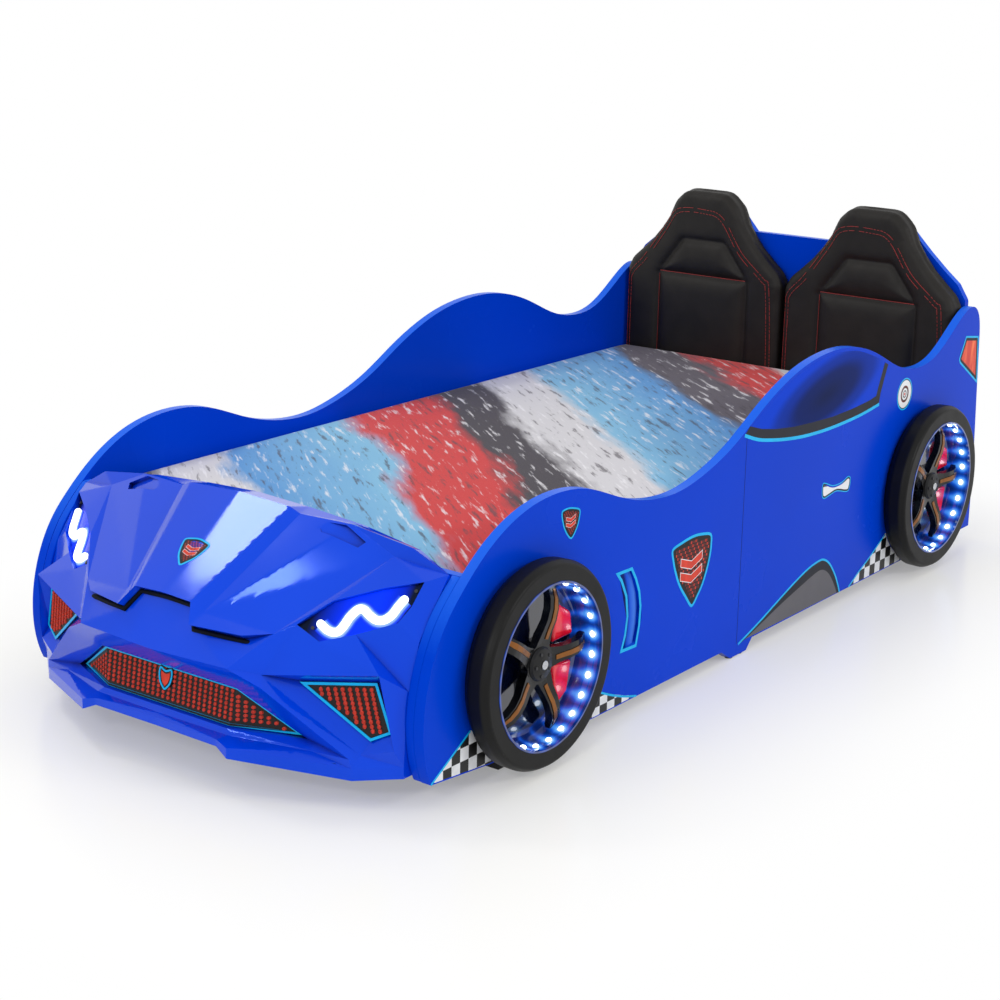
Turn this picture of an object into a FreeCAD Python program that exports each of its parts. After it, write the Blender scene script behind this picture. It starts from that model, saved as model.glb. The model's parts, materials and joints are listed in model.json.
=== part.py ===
import FreeCAD, Part
import math
import os

# Children's car bed.  X is the width, the nose points to -Y, +Z is up.
# The origin is on the floor under the middle of the bounding box.  Millimetres.

Vec = FreeCAD.Vector
doc = FreeCAD.newDocument("car_bed")

# ---------------------------------------------------------------- driving sizes
SIZES = (
    ("inner_width", 915.0),      # between the side panels
    ("board", 20.0),             # side panel thickness
    ("thin_board", 18.0),        # foot board, headboard and front trims
    ("fit_gap", 0.3),            # clearance between pieces that only seat
    ("seam_y", 30.0),            # joint between the front and rear half panels
    ("half_length", 1120.5),     # origin to the nose lip and to the tail
    ("foot_board_y", -851.7),
    ("foot_board_top", 385.0),
    ("headboard_y", 1044.3),
    ("mattress_side_gap", 7.5),  # beside the mattress, each side
    ("mattress_foot_gap", 1.7),
    ("mattress_head_gap", 3.0),
    ("mattress_base", 255.3),
    ("mattress_side", 122.0),    # height of the side, below the crown
    ("mattress_crown", 9.0),
    ("mattress_round", 30.0),
    ("slat_thick", 12.0),
    ("slat_width", 70.0),
    ("slat_pitch", 140.0),
    ("slat_count", 13.0),
    ("rail_width", 30.0),
    ("rail_height", 45.0),
    ("glide_height", 3.0),
    ("cushion_thick", 49.7),
    ("cushion_board", 9.0),
    ("cushion_part", 0.25),      # half the gap between the two cushions
    ("cushion_round", 16.0),     # depth over which the border rolls in
    ("channel_depth", 6.0),      # sewn channel round the cushion insert
    ("wheel_front_y", -693.0),
    ("wheel_rear_y", 820.0),
    ("wheel_height", 199.0),     # axle height
    ("tyre_radius", 187.0),
    ("rim_radius", 151.0),
    ("wheel_depth", 58.0),       # wheel face in front of the panel
    ("led_count", 24.0),
    ("spoke_radius", 141.0),
    ("spoke_plane", 18.0),
    ("spoke_thick", 14.0),
    ("spoke_arch", 10.0),        # rise of the blades between hub and rim
    ("spoke_phase", 4.0),        # degrees
    ("hub_radius", 35.0),
    ("vent_depth", 8.0),         # slot behind the front wheel
    ("scoop_depth", 8.0),        # scoops at the rear of the hood
    ("lamp_depth", 13.0),
    ("tray_thick", 3.0),
    ("guide_thick", 6.0),
    ("grille_thick", 4.0),
    ("grille_inset", 9.0),
)

sheet = doc.addObject("Spreadsheet::Sheet", "Sizes")
for row, (word, size) in enumerate(SIZES, start=1):
    sheet.set("A%d" % row, word)
    sheet.set("B%d" % row, repr(size))
    sheet.setAlias("B%d" % row, word)
doc.recompute()


def val(word):
    return float(sheet.get(word))


GAP = val("fit_gap")
HALF = val("inner_width") / 2.0
OUTER = HALF + val("board")
NODES = []
# Outlines across the bed are drawn for this half width and follow inner_width.
DRAWN_HALF = 457.5
SPREAD = HALF / DRAWN_HALF
CUSHION_BACK = "(Sizes.headboard_y - Sizes.cushion_board - 2 * Sizes.fit_gap)"
CUSHION_SHIFT = "(Sizes.inner_width / 4 + Sizes.cushion_part)"
MATTRESS_FRONT = "(Sizes.foot_board_y + Sizes.thin_board + Sizes.mattress_foot_gap)"
MATTRESS_BACK = "(%s - Sizes.cushion_thick - Sizes.mattress_head_gap)" % CUSHION_BACK


# ---------------------------------------------------------------- small helpers
def v2(point):
    return Vec(point[0], point[1], 0.0)


def rounded(points, radii):
    """Closed outline of lines and tangent arcs: one radius for each corner."""
    count = len(points)
    cuts = []
    for i in range(count):
        here = v2(points[i])
        back = v2(points[i - 1]) - here
        ahead = v2(points[(i + 1) % count]) - here
        back.normalize()
        ahead.normalize()
        radius = radii[i]
        if radius <= 0.0:
            cuts.append((here, None, here))
            continue
        turn = math.acos(max(-1.0, min(1.0, back.dot(ahead))))
        reach = radius / math.tan(turn / 2.0)
        middle = back + ahead
        middle.normalize()
        centre = here + middle * (radius / math.sin(turn / 2.0))
        inward = here - centre
        inward.normalize()
        cuts.append((here + back * reach, centre + inward * radius, here + ahead * reach))
    edges = []
    for i in range(count):
        start, mid, end = cuts[i]
        if mid is not None:
            edges.append(Part.Arc(start, mid, end))
        following = cuts[(i + 1) % count][0]
        if (following - end).Length > 1e-6:
            edges.append(Part.LineSegment(end, following))
    return edges


def mirrored_x(points):
    """Full outline from its right half, which runs from the top round to the bottom."""
    return list(points) + [(-x, y) for x, y in reversed(points)]


def body(label):
    item = doc.addObject("PartDesign::Body", label)
    item.Label = label
    NODES.append(item)
    return item


def sketch(owner, plane, outlines, offset=None, expression=None):
    item = owner.newObject("Sketcher::SketchObject", owner.Name + "_sketch")
    support = [o for o in owner.Origin.OriginFeatures if o.Role == plane][0]
    item.AttachmentSupport = [(support, "")]
    item.MapMode = "FlatFace"
    if offset is not None:
        item.AttachmentOffset = FreeCAD.Placement(Vec(0, 0, offset), FreeCAD.Rotation())
    if expression is not None:
        item.setExpression("AttachmentOffset.Base.z", expression)
    for outline in outlines:
        for edge in outline:
            item.addGeometry(edge, False)
    return item


def pad(owner, profile, expression, back=False):
    item = owner.newObject("PartDesign::Pad", owner.Name + "_pad")
    item.Profile = profile
    item.setExpression("Length", expression)
    item.Reversed = back
    return item


def pocket(owner, profile, expression, back=False):
    item = owner.newObject("PartDesign::Pocket", owner.Name + "_pocket")
    item.Profile = profile
    item.setExpression("Length", expression)
    item.Reversed = back
    return item


def revolve(owner, profile):
    item = owner.newObject("PartDesign::Revolution", owner.Name + "_turn")
    item.Profile = profile
    item.ReferenceAxis = (profile, ["H_Axis"])
    item.Angle = 360.0
    return item


def turn_away(owner, profile):
    item = owner.newObject("PartDesign::Groove", owner.Name + "_groove")
    item.Profile = profile
    item.ReferenceAxis = (profile, ["H_Axis"])
    item.Angle = 360.0
    return item


def place(item, x=None, y=None, z=None):
    for axis, expression in (("x", x), ("y", y), ("z", z)):
        if expression is not None:
            item.setExpression("Placement.Base." + axis, expression)


def formed(label, shape):
    item = doc.addObject("Part::Feature", label)
    item.Label = label
    item.Shape = shape
    NODES.append(item)
    return item


def box(label, sizes, corner):
    """A plain board: sizes and corner are expressions."""
    item = doc.addObject("Part::Box", label)
    item.Label = label
    for name, expression in zip(("Length", "Width", "Height"), sizes):
        item.setExpression(name, expression)
    place(item, *corner)
    NODES.append(item)
    return item


def solid_box(x0, x1, y0, y1, z0, z1):
    return Part.makeBox(x1 - x0, y1 - y0, z1 - z0, Vec(x0, y0, z0))


def prism(points, push):
    wire = Part.makePolygon(list(points) + [points[0]])
    return Part.Face(wire).extrude(push)


def mirror_copy(shape):
    return shape.mirror(Vec(0, 0, 0), Vec(1, 0, 0))


# ---------------------------------------------------------------- side panels
# Top edge of a panel seen from the side, as (Y, Z): front wing, dip beside the
# mattress, crest behind the door, rear dip and tail.
TOP_EDGE = (
    (-950.0, 51.0), (-966.0, 98.0), (-971.0, 150.0), (-965.0, 207.0), (-948.0, 263.0),
    (-912.0, 326.0), (-873.0, 367.0), (-800.0, 425.0), (-717.0, 464.0), (-618.0, 480.0),
    (-512.0, 467.0), (-414.0, 431.0), (-347.0, 411.0), (-280.0, 400.0), (-210.0, 399.0),
    (-141.0, 410.0), (-70.0, 430.0), (1.0, 459.0), (73.0, 497.0), (148.0, 532.0),
    (228.0, 559.0), (310.0, 574.0), (395.0, 578.0), (485.0, 567.0), (582.0, 536.0),
    (684.0, 493.0), (757.0, 478.0), (812.0, 478.0), (862.0, 489.0), (907.0, 510.0),
    (956.0, 540.0), (1003.0, 567.0), (1035.0, 577.0), (1062.0, 573.0), (1082.0, 554.0),
    (1091.0, 530.0), (1094.5, 508.0),
)
BOTTOM_REAR = ((1120.5, 172.0), (1120.5, 30.0), (92.0, 25.0), (70.0, 3.0))
BOTTOM_FRONT = ((8.0, 3.0), (-28.0, 25.0), (-475.0, 24.0), (-789.0, 36.0))
VENT = ((-408.0, 280.0), (-366.0, 285.0), (-336.0, 223.0), (-327.0, 181.0), (-344.0, 133.0),
        (-393.0, 127.0), (-377.0, 185.0))

edge_curve = Part.BSplineCurve()
edge_curve.interpolate([v2(p) for p in TOP_EDGE])
SEAM = val("seam_y")


def curve_at(y_value, low, high):
    """Parameter where the top edge passes a given Y, between two parameters."""
    for _ in range(60):
        middle = (low + high) / 2.0
        if edge_curve.value(middle).x < y_value:
            low = middle
        else:
            high = middle
    return (low + high) / 2.0


def chain(points):
    return [Part.LineSegment(v2(a), v2(b)) for a, b in zip(points[:-1], points[1:])]


first = edge_curve.FirstParameter
last = edge_curve.LastParameter
seam_at = curve_at(SEAM, edge_curve.parameter(v2((-618.0, 480.0))), edge_curve.parameter(v2((395.0, 578.0))))
trim_at = curve_at(-852.5, edge_curve.parameter(v2((-912.0, 326.0))), edge_curve.parameter(v2((-800.0, 425.0))))


def curve_piece(start, end):
    piece = edge_curve.copy()
    piece.segment(start, end)
    return piece


def end_point(at):
    point = edge_curve.value(at)
    return (point.x, point.y)


SEAM_GAP = 0.2
seam_top = end_point(seam_at)
front_outline = [curve_piece(first, seam_at)] + chain(
    (seam_top, (SEAM, 3.0)) + BOTTOM_FRONT + (TOP_EDGE[0],))
rear_at = curve_at(SEAM + SEAM_GAP, seam_at, edge_curve.parameter(v2((395.0, 578.0))))
rear_top = end_point(rear_at)
rear_outline = [curve_piece(rear_at, last)] + chain(
    (TOP_EDGE[-1],) + BOTTOM_REAR + ((SEAM + SEAM_GAP, 3.0), rear_top))

for side, sign in (("left", 1), ("right", -1)):
    place_expr = "Sizes.inner_width / 2" if sign > 0 else "-Sizes.inner_width / 2 - Sizes.board"
    for part_name, outline in (("front", front_outline), ("rear", rear_outline)):
        panel = body("side_panel_%s_%s" % (side, part_name))
        pad(panel, sketch(panel, "YZ_Plane", [outline], 0.0, place_expr), "Sizes.board")
        if part_name == "front":
            doc.recompute()
            whole = panel.Shape.Volume
            face_expr = "Sizes.inner_width / 2 + Sizes.board"
            if sign < 0:
                face_expr = "-" + face_expr.replace(" + ", " - ")
            hollow = sketch(panel, "YZ_Plane", [rounded(VENT, [6, 6, 20, 20, 6, 6, 20])], 0.0, face_expr)
            pocket(panel, hollow, "Sizes.vent_depth", back=sign < 0)
            doc.recompute()
            assert panel.Shape.Volume < whole - 1000.0, "vent did not cut"

# Strips that double the front edge of each panel and carry the nose moulding.
trim_top = end_point(trim_at)
TRIM_INNER = ((-852.5, 338.0), (-884.0, 300.0), (-912.0, 250.0), (-928.0, 200.0), (-933.0, 150.0),
              (-930.0, 100.0), (-917.0, 50.0))
inner_curve = Part.BSplineCurve()
inner_curve.interpolate([v2(p) for p in TRIM_INNER])
trim_outline = [curve_piece(first, trim_at)] + chain((trim_top, TRIM_INNER[0])) + [inner_curve]
trim_outline += chain((TRIM_INNER[-1], TOP_EDGE[0]))
for side, sign in (("left", 1), ("right", -1)):
    trim = body("front_trim_" + side)
    where = "Sizes.inner_width / 2 - Sizes.thin_board" if sign > 0 else "-Sizes.inner_width / 2"
    pad(trim, sketch(trim, "YZ_Plane", [trim_outline], 0.0, where), "Sizes.thin_board")

# ---------------------------------------------------------------- nose moulding
# Half of the faceted skin; the other half is its mirror image.
TRIM_X = HALF - val("thin_board") - 0.5
INSET = val("grille_inset") + val("grille_thick") + GAP
BACK = val("foot_board_y") - GAP
NET = {
    "a0": (0, -1088, 320), "a1": (67, -1088, 317), "t0": (0, -900, 458), "t1": (121, -898, 452),
    "b1": (86, -1112, 287), "c1": (183, -1086, 283), "mh": (92, -1084, 302), "m2": (142, -896, 443),
    "a0i": (0, -1074, 311), "a1i": (61, -1074, 308), "b1i": (83, -1094, 277), "c1i": (181, -1073, 273),
    "f0": (0, -1119, 226), "r0": (177, -1117, 232), "e1": (225, -1054, 287), "r1": (342, -884, 404),
    "t2": (250, -884, 442), "t3": (372, -872, 422), "t4": (TRIM_X, -860, 386),
    "g0": (0, -1081, 184), "g1": (164, -1081, 184), "tip": (279, -1033, 108), "c0": (0, -1092, 112),
    "cb": (150, -1092, 112), "ri": (220, -1080, 221), "rt": (414, -1008, 245), "rb": (431, -990, 112),
    "rl": (378, -1012, 98), "p1": (232, -1096, 206), "p2": (368, -1030, 94),
    "u0": (0, -1101, 104), "u1": (160, -1097, 103), "u2": (300, -1044, 95),
    "v0": (0, -1110, 98), "v1": (147, -1115, 99), "v2": (176, -1120.5, 92), "v3": (372, -1028, 78),
    "v4": (TRIM_X, -974, 80), "w0": (0, -1110, 84), "w1": (147, -1115, 86), "w2": (176, -1120.5, 73),
    "w3": (372, -1028, 56), "w4": (TRIM_X, -974, 60), "s1": (TRIM_X, -970, 145),
    "s2": (TRIM_X, -962, 210), "s3": (TRIM_X, -936, 290), "s4": (TRIM_X, -900, 336),
    "k0": (0, BACK, 447), "k1": (121, BACK, 442), "k2": (250, BACK, 433), "k3": (372, BACK, 414),
    "k4": (TRIM_X, BACK, 380), "q0": (0, BACK, 84), "q1": (147, BACK, 86), "q2": (176, BACK, 73),
    "q3": (372, BACK, 56), "q4": (TRIM_X, BACK, 60),
}
# Headlamp opening, on one flat plane.
LAMP = (("hin", (254, -1029, 303)), ("hu1", (268.8, -1011, 318.5)), ("hu2", (293.7, -983, 341.2)),
        ("hu3", (361.2, -934, 365.2)), ("hout", (423.4, -894, 380.4)), ("hl4", (413.6, -925, 342.6)),
        ("hl3", (402.9, -948, 317.2)), ("hl2", (347.5, -989, 296.2)), ("hl1", (297.7, -1023, 281.8)))
for word, point in LAMP:
    NET[word] = point
LAMP_WORDS = [word for word, point in LAMP]
NET["hout"] = (418.0, -897.8, 378.9)
LAMP_NORMAL = (Vec(*NET["hu3"]) - Vec(*NET["hin"])).cross(Vec(*NET["hl1"]) - Vec(*NET["hin"]))
if LAMP_NORMAL.y > 0:
    LAMP_NORMAL = LAMP_NORMAL * -1.0
LAMP_NORMAL.normalize()
LAMP_ORIGIN = Vec(*NET["hin"])
for word in LAMP_WORDS:
    corner = Vec(*NET[word])
    corner = corner - LAMP_NORMAL * (corner - LAMP_ORIGIN).dot(LAMP_NORMAL)
    NET[word] = (corner.x, corner.y, corner.z)
    floor = corner - LAMP_NORMAL * val("lamp_depth")
    NET[word + "f"] = (floor.x, floor.y, floor.z)

# Side grille: the floor of its funnel lies on one plane behind the rim.
SIDE_GRILLE = {"fi": Vec(267, -1039, 209), "ft": Vec(397, -990, 224), "fb": Vec(423, -985, 138),
               "fl": Vec(386, -995, 119)}
side_normal = (SIDE_GRILLE["ft"] - SIDE_GRILLE["fi"]).cross(SIDE_GRILLE["fl"] - SIDE_GRILLE["fi"])
if side_normal.y > 0:
    side_normal = side_normal * -1.0
side_normal.normalize()
for word in SIDE_GRILLE:
    corner = SIDE_GRILLE[word]
    corner = corner - side_normal * (corner - SIDE_GRILLE["fi"]).dot(side_normal)
    SIDE_GRILLE[word] = corner
    floor = corner - side_normal * (val("grille_thick") + GAP)
    NET[word] = (floor.x, floor.y, floor.z)

# Centre grille: floor behind the opening, in three facets.
for word in ("g0", "g1", "tip", "cb", "c0"):
    x, y, z = NET[word]
    NET[word + "f"] = (x * 0.985, y + INSET, z)

FACES = (
    "a0 a1 t1 t0", "a1 mh m2 t1", "a1 b1 mh", "b1 c1 mh", "mh c1 e1", "mh e1 r1", "mh r1 t2", "mh t2 m2",
    "r1 t3 t2", "c1 c1i e1", "c1i r0 e1", "a0 a0i a1i a1", "a1 a1i b1i b1", "b1 b1i c1i c1",
    "a0i f0 a1i", "f0 b1i a1i", "f0 r0 b1i", "r0 c1i b1i", "f0 g0 g1 r0",
    "r0 ri e1", "e1 ri hin", "ri hl1 hin", "ri rt hl1", "hl1 rt hl2", "hl2 rt s2", "hl2 s2 hl3",
    "hl3 s2 s3", "hl3 s3 hl4", "hl4 s3 s4", "hl4 s4 hout", "hout s4 t4",
    "e1 hin hu1", "e1 hu1 hu2", "e1 hu2 r1", "r1 hu2 hu3", "r1 hu3 hout", "r1 hout t4", "r1 t4 t3",
    "rt s1 s2", "rt rb s1", "r0 g1 p1", "g1 tip p1", "tip p2 p1", "r0 p1 ri", "p1 rl ri", "p1 p2 rl",
    "c0 cb u1 u0", "cb tip u2 u1", "tip p2 u2", "u0 u1 v1 v0", "u1 u2 v2", "u1 v2 v1", "u2 p2 v3",
    "u2 v3 v2", "p2 rl v3", "rl rb v4", "rl v4 v3", "rb s1 v4",
    "v0 v1 w1 w0", "v1 v2 w2 w1", "v2 v3 w3 w2", "v3 v4 w4 w3",
    "v4 s1 s2 s3 s4 t4 k4 q4 w4", "t0 t1 k1 k0", "t1 m2 k1", "m2 t2 k2 k1", "t2 t3 k3 k2", "t3 t4 k4 k3",
    "k0 k1 k2 k3 k4 q4 q3 q2 q1 q0", "w0 w1 q1 q0", "w1 w2 q2 q1", "w2 w3 q3 q2", "w3 w4 q4 q3",
    "ri rt ft fi", "rt rb fb ft", "rb rl fl fb", "rl ri fi fl", "fi ft fb fl",
    "g0 g1 g1f g0f", "g1 tip tipf g1f", "tip cb cbf tipf", "cb c0 c0f cbf", "g0f g1f cbf c0f",
    "g1f tipf cbf",
)
LAMP_FACES = ["%s %s %sf %sf" % (a, b, b, a) for a, b in zip(LAMP_WORDS, LAMP_WORDS[1:] + LAMP_WORDS[:1])]
LAMP_FACES.append(" ".join(word + "f" for word in LAMP_WORDS))


def flat(points):
    normal = (points[1] - points[0]).cross(points[2] - points[0])
    normal.normalize()
    return all(abs((p - points[0]).dot(normal)) < 1e-6 for p in points)


def facets(words, sign):
    points = [Vec(NET[w][0] * sign, NET[w][1], NET[w][2]) for w in words.split()]
    if len(points) > 3 and not flat(points):
        return [Part.Face(Part.makePolygon([points[0], points[i], points[i + 1], points[0]]))
                for i in range(1, len(points) - 1)]
    return [Part.Face(Part.makePolygon(points + [points[0]]))]


skin = []
for words in list(FACES) + LAMP_FACES:
    for sign in (1, -1):
        skin += facets(words, sign)
nose_shell = Part.makeShell(skin)
nose_shell.sewShape()
nose = Part.Solid(nose_shell)
if nose.Volume < 0:
    nose.reverse()
assert nose.isClosed() and nose.isValid(), "nose skin is not closed"

# The moulding is hollow: sections across the width, each inside the skin.
HOLLOW = (
    (0, (-1058, 130), (-1058, 205), (-1050, 300), (-905, 436), (-840, 436), (-840, 60), (-1058, 60)),
    (150, (-1052, 130), (-1052, 205), (-1058, 258), (-905, 422), (-840, 422), (-840, 60), (-1052, 60)),
    (240, (-1022, 118), (-1022, 195), (-1010, 268), (-905, 396), (-840, 396), (-840, 60), (-1022, 60)),
    (330, (-985, 105), (-975, 175), (-950, 268), (-900, 356), (-840, 372), (-840, 50), (-985, 50)),
    (428, (-942, 95), (-940, 170), (-925, 250), (-890, 318), (-840, 350), (-840, 50), (-942, 50)),
)
wires = []
for x, *section in [(-s[0],) + s[1:] for s in reversed(HOLLOW[1:])] + list(HOLLOW):
    corners = [Vec(x, y, z) for y, z in section]
    wires.append(Part.makePolygon(corners + [corners[0]]))
cavity = Part.makeLoft(wires, True, True)
nose = nose.cut(cavity)

# Scoops in the hood near its rear edge, on the facet mh r1 t2.
SCOOP = (Vec(186, -899, 441), Vec(240, -889, 441), Vec(286, -892, 420), Vec(278, -903, 411),
         Vec(246, -909, 420), Vec(204, -915, 430))
facet_origin = Vec(*NET["mh"])
hood_normal = (Vec(*NET["r1"]) - facet_origin).cross(Vec(*NET["t2"]) - facet_origin)
hood_normal.normalize()
if hood_normal.z < 0:
    hood_normal = hood_normal * -1.0
scoop_floor = [p - hood_normal * ((p - facet_origin).dot(hood_normal) + val("scoop_depth")) for p in SCOOP]
scoop = prism(scoop_floor, hood_normal * (val("scoop_depth") + 12.0))
before_scoops = nose.Volume
nose = nose.cut(scoop).cut(mirror_copy(scoop))
assert nose.Volume < before_scoops - 10000.0, "scoops did not cut"
formed("nose_shell", nose.Solids[0] if len(nose.Solids) == 1 else nose)


# ---------------------------------------------------------------- lamps and grilles
def lamp_point(word, depth):
    return Vec(*NET[word]) - LAMP_NORMAL * depth


centre_of_lamp = Vec(0, 0, 0)
for word in LAMP_WORDS:
    centre_of_lamp = centre_of_lamp + Vec(*NET[word]) * (1.0 / len(LAMP_WORDS))


def drawn_in(word, share, depth):
    point = lamp_point(word, depth)
    centre = centre_of_lamp - LAMP_NORMAL * depth
    return centre + (point - centre) * share


tray_depth = val("lamp_depth") - GAP
tray = prism([drawn_in(w, 0.985, tray_depth) for w in LAMP_WORDS], LAMP_NORMAL * val("tray_thick"))

# Light guide: a zigzag bar of even width along this line on the lamp plane.
GUIDE_LINE = (Vec(290, -1007, 309), Vec(311, -1000, 302), Vec(327, -977, 325), Vec(352, -960, 334),
              Vec(371, -956, 324), Vec(388, -944, 329), Vec(399, -924, 353))
GUIDE_HALF = 6.0
guide_line = [p - LAMP_NORMAL * (p - LAMP_ORIGIN).dot(LAMP_NORMAL) for p in GUIDE_LINE]
near_side = []
far_side = []
for i, point in enumerate(guide_line):
    before = guide_line[max(i - 1, 0)]
    after = guide_line[min(i + 1, len(guide_line) - 1)]
    along = after - before
    along.normalize()
    across = LAMP_NORMAL.cross(along)
    near_side.append(point + across * GUIDE_HALF)
    far_side.append(point - across * GUIDE_HALF)
guide_base = tray_depth - val("tray_thick") - GAP
guide = prism([p - LAMP_NORMAL * guide_base for p in near_side + far_side[::-1]],
              LAMP_NORMAL * val("guide_thick"))
screws = []
for point in (Vec(277, -1018, 301), Vec(408, -908.5, 365.0)):
    flat_point = point - LAMP_NORMAL * ((point - LAMP_ORIGIN).dot(LAMP_NORMAL) + guide_base)
    screws.append(Part.makeCylinder(3.0, 2.5, flat_point, LAMP_NORMAL))
for side, shape, parts in (("left", tray, guide), ("right", mirror_copy(tray), mirror_copy(guide))):
    formed("headlamp_tray_" + side, shape)
    formed("headlamp_guide_" + side, parts)
formed("lamp_screws", Part.makeCompound(screws + [mirror_copy(s) for s in screws]))

plate_points = [SIDE_GRILLE[w] for w in ("fi", "ft", "fb", "fl")]
middle = (plate_points[0] + plate_points[1] + plate_points[2] + plate_points[3]) * 0.25
side_grille = prism([middle + (p - middle) * 0.985 for p in plate_points], side_normal * -val("grille_thick"))
formed("grille_left", side_grille)
formed("grille_right", mirror_copy(side_grille))

# Centre grille: its outline seen from the front, cut to a band that follows the floor.
EDGE_IN = 1.2
outline = [(-164 * 0.985 + EDGE_IN, 184 - EDGE_IN), (164 * 0.985 - EDGE_IN, 184 - EDGE_IN),
           (279 * 0.985 - 4.0, 109.2), (150 * 0.985 - 0.3, 112 + EDGE_IN),
           (-150 * 0.985 + 0.3, 112 + EDGE_IN), (-279 * 0.985 + 4.0, 109.2)]
front_prism = prism([Vec(x, -1200, z) for x, z in outline], Vec(0, 400, 0))
slab_faces = []
THICK = val("grille_thick")


def floor_point(word, sign, lift):
    x, y, z = NET[word]
    return Vec(x * sign, y - lift, z)


def slab(words, sign):
    pts = [floor_point(w, sign, GAP) for w in words]
    face = Part.Face(Part.makePolygon(pts + [pts[0]]))
    return face.extrude(Vec(0, -THICK, 0))


mid_points = [floor_point("g1f", -1, GAP), floor_point("g1f", 1, GAP), floor_point("cbf", 1, GAP),
              floor_point("cbf", -1, GAP)]
mid_slab = Part.Face(Part.makePolygon(mid_points + [mid_points[0]])).extrude(Vec(0, -THICK, 0))
grille = mid_slab.fuse([slab(("g1f", "tipf", "cbf"), 1), slab(("g1f", "tipf", "cbf"), -1)]).removeSplitter()
grille = grille.common(front_prism)
formed("grille_centre", grille.Solids[0])

# ---------------------------------------------------------------- boards and frame
box("foot_board", ("Sizes.inner_width - 2 * Sizes.fit_gap", "Sizes.thin_board", "Sizes.foot_board_top - 60"),
    ("-Sizes.inner_width / 2 + Sizes.fit_gap", "Sizes.foot_board_y", "60"))

HEAD_HALF = ((0.0, 691.0), (112.0, 691.0), (140.0, 722.0), (160.0, 752.0), (186.0, 772.0), (268.0, 772.0),
             (296.0, 754.0), (322.0, 726.0), (356.0, 692.0), (400.0, 652.0), (434.0, 624.0), (457.2, 588.0),
             (457.2, 60.0))
head_half = [(x * SPREAD, z) for x, z in HEAD_HALF]
head_points = [(-x, z) for x, z in reversed(head_half[1:])] + head_half
head_radii = [0, 18, 14, 20, 30, 30, 24, 24, 12, 20, 12, 0]
headboard = body("headboard")
head_outline = rounded(head_points, head_radii[:12][::1] + [0] + head_radii[::-1])
pad(headboard, sketch(headboard, "XZ_Plane", [head_outline], 0.0, "-Sizes.headboard_y"),
    "Sizes.thin_board", back=True)

for side, sign in (("left", 1), ("right", -1)):
    start = "Sizes.inner_width / 2 - Sizes.rail_width" if sign > 0 else "-Sizes.inner_width / 2"
    box("side_rail_" + side,
        ("Sizes.rail_width", "Sizes.headboard_y - Sizes.foot_board_y - Sizes.thin_board - 2 * Sizes.fit_gap",
         "Sizes.rail_height"),
        (start, "Sizes.foot_board_y + Sizes.thin_board + Sizes.fit_gap",
         "Sizes.mattress_base - Sizes.fit_gap - Sizes.slat_thick - Sizes.rail_height"))
box("centre_beam",
    ("60", "Sizes.headboard_y - Sizes.foot_board_y - Sizes.thin_board - 2 * Sizes.fit_gap", "40"),
    ("-30", "Sizes.foot_board_y + Sizes.thin_board + Sizes.fit_gap",
     "Sizes.mattress_base - Sizes.fit_gap - Sizes.slat_thick - 40"))

slat_top = val("mattress_base") - GAP
slat_low = slat_top - val("slat_thick")
slats = []
for i in range(int(val("slat_count"))):
    start = -790.0 + i * val("slat_pitch")
    plank = solid_box(-HALF + 1.0, HALF - 1.0, start, start + val("slat_width"), slat_low, slat_top)
    long_edges = [e for e in plank.Edges if abs(e.Vertexes[0].Y - e.Vertexes[1].Y) < 1e-6
                  and abs(e.Vertexes[0].Z - e.Vertexes[1].Z) < 1e-6]
    slats.append(plank.makeFillet(3.0, long_edges))
formed("slats", Part.makeCompound(slats))

# Legs stand on glides: two under each rail and three under the beam.
LEG = 44.0
rail_low = slat_low - val("rail_height")
beam_low = slat_low - 40.0
glide = val("glide_height")
legs = []
glides = []
for y in (-716.0, 866.0):
    for sign in (1, -1):
        x0 = HALF - LEG if sign > 0 else -HALF
        legs.append(solid_box(x0, x0 + LEG, y - LEG / 2, y + LEG / 2, glide, rail_low))
        glides.append(Part.makeCylinder(16.0, glide, Vec(x0 + LEG / 2, y, 0)))
for y in (-700.0, 60.0, 820.0):
    legs.append(solid_box(-LEG / 2, LEG / 2, y - LEG / 2, y + LEG / 2, glide, beam_low))
    glides.append(Part.makeCylinder(16.0, glide, Vec(0, y, 0)))
for y in (18.0, 54.0):
    for sign in (1, -1):
        glides.append(Part.makeCylinder(8.0, glide, Vec(sign * (HALF + val("board") / 2), y, 0)))
formed("legs", Part.makeCompound(legs))
formed("glides", Part.makeCompound(glides))

# Plates that bridge the seam of the two half panels, below the rails.
plates = []
for x0 in (HALF - 12.0, -HALF):
    plates.append(solid_box(x0, x0 + 12.0, SEAM - 90.0, SEAM + 90.0, 50.0, 190.0))
formed("seam_plates", Part.makeCompound(plates))

# Steel angle brackets at the four corners, two at each.
brackets = []
ARM = 38.0
for board_face, turn in ((val("foot_board_y") + val("thin_board"), 1), (val("headboard_y"), -1)):
    for z in (90.0, 150.0):
        for sign in (1, -1):
            face_x = sign * HALF
            xa, xb = sorted((face_x, face_x - sign * 2.5))
            ya, yb = sorted((board_face, board_face + turn * ARM))
            arm_a = solid_box(xa, xb, ya, yb, z, z + 30.0)
            xa, xb = sorted((face_x, face_x - sign * ARM))
            ya, yb = sorted((board_face, board_face + turn * 2.5))
            brackets.append(arm_a.fuse(solid_box(xa, xb, ya, yb, z, z + 30.0)).removeSplitter())
formed("corner_brackets", Part.makeCompound(brackets))

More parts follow.
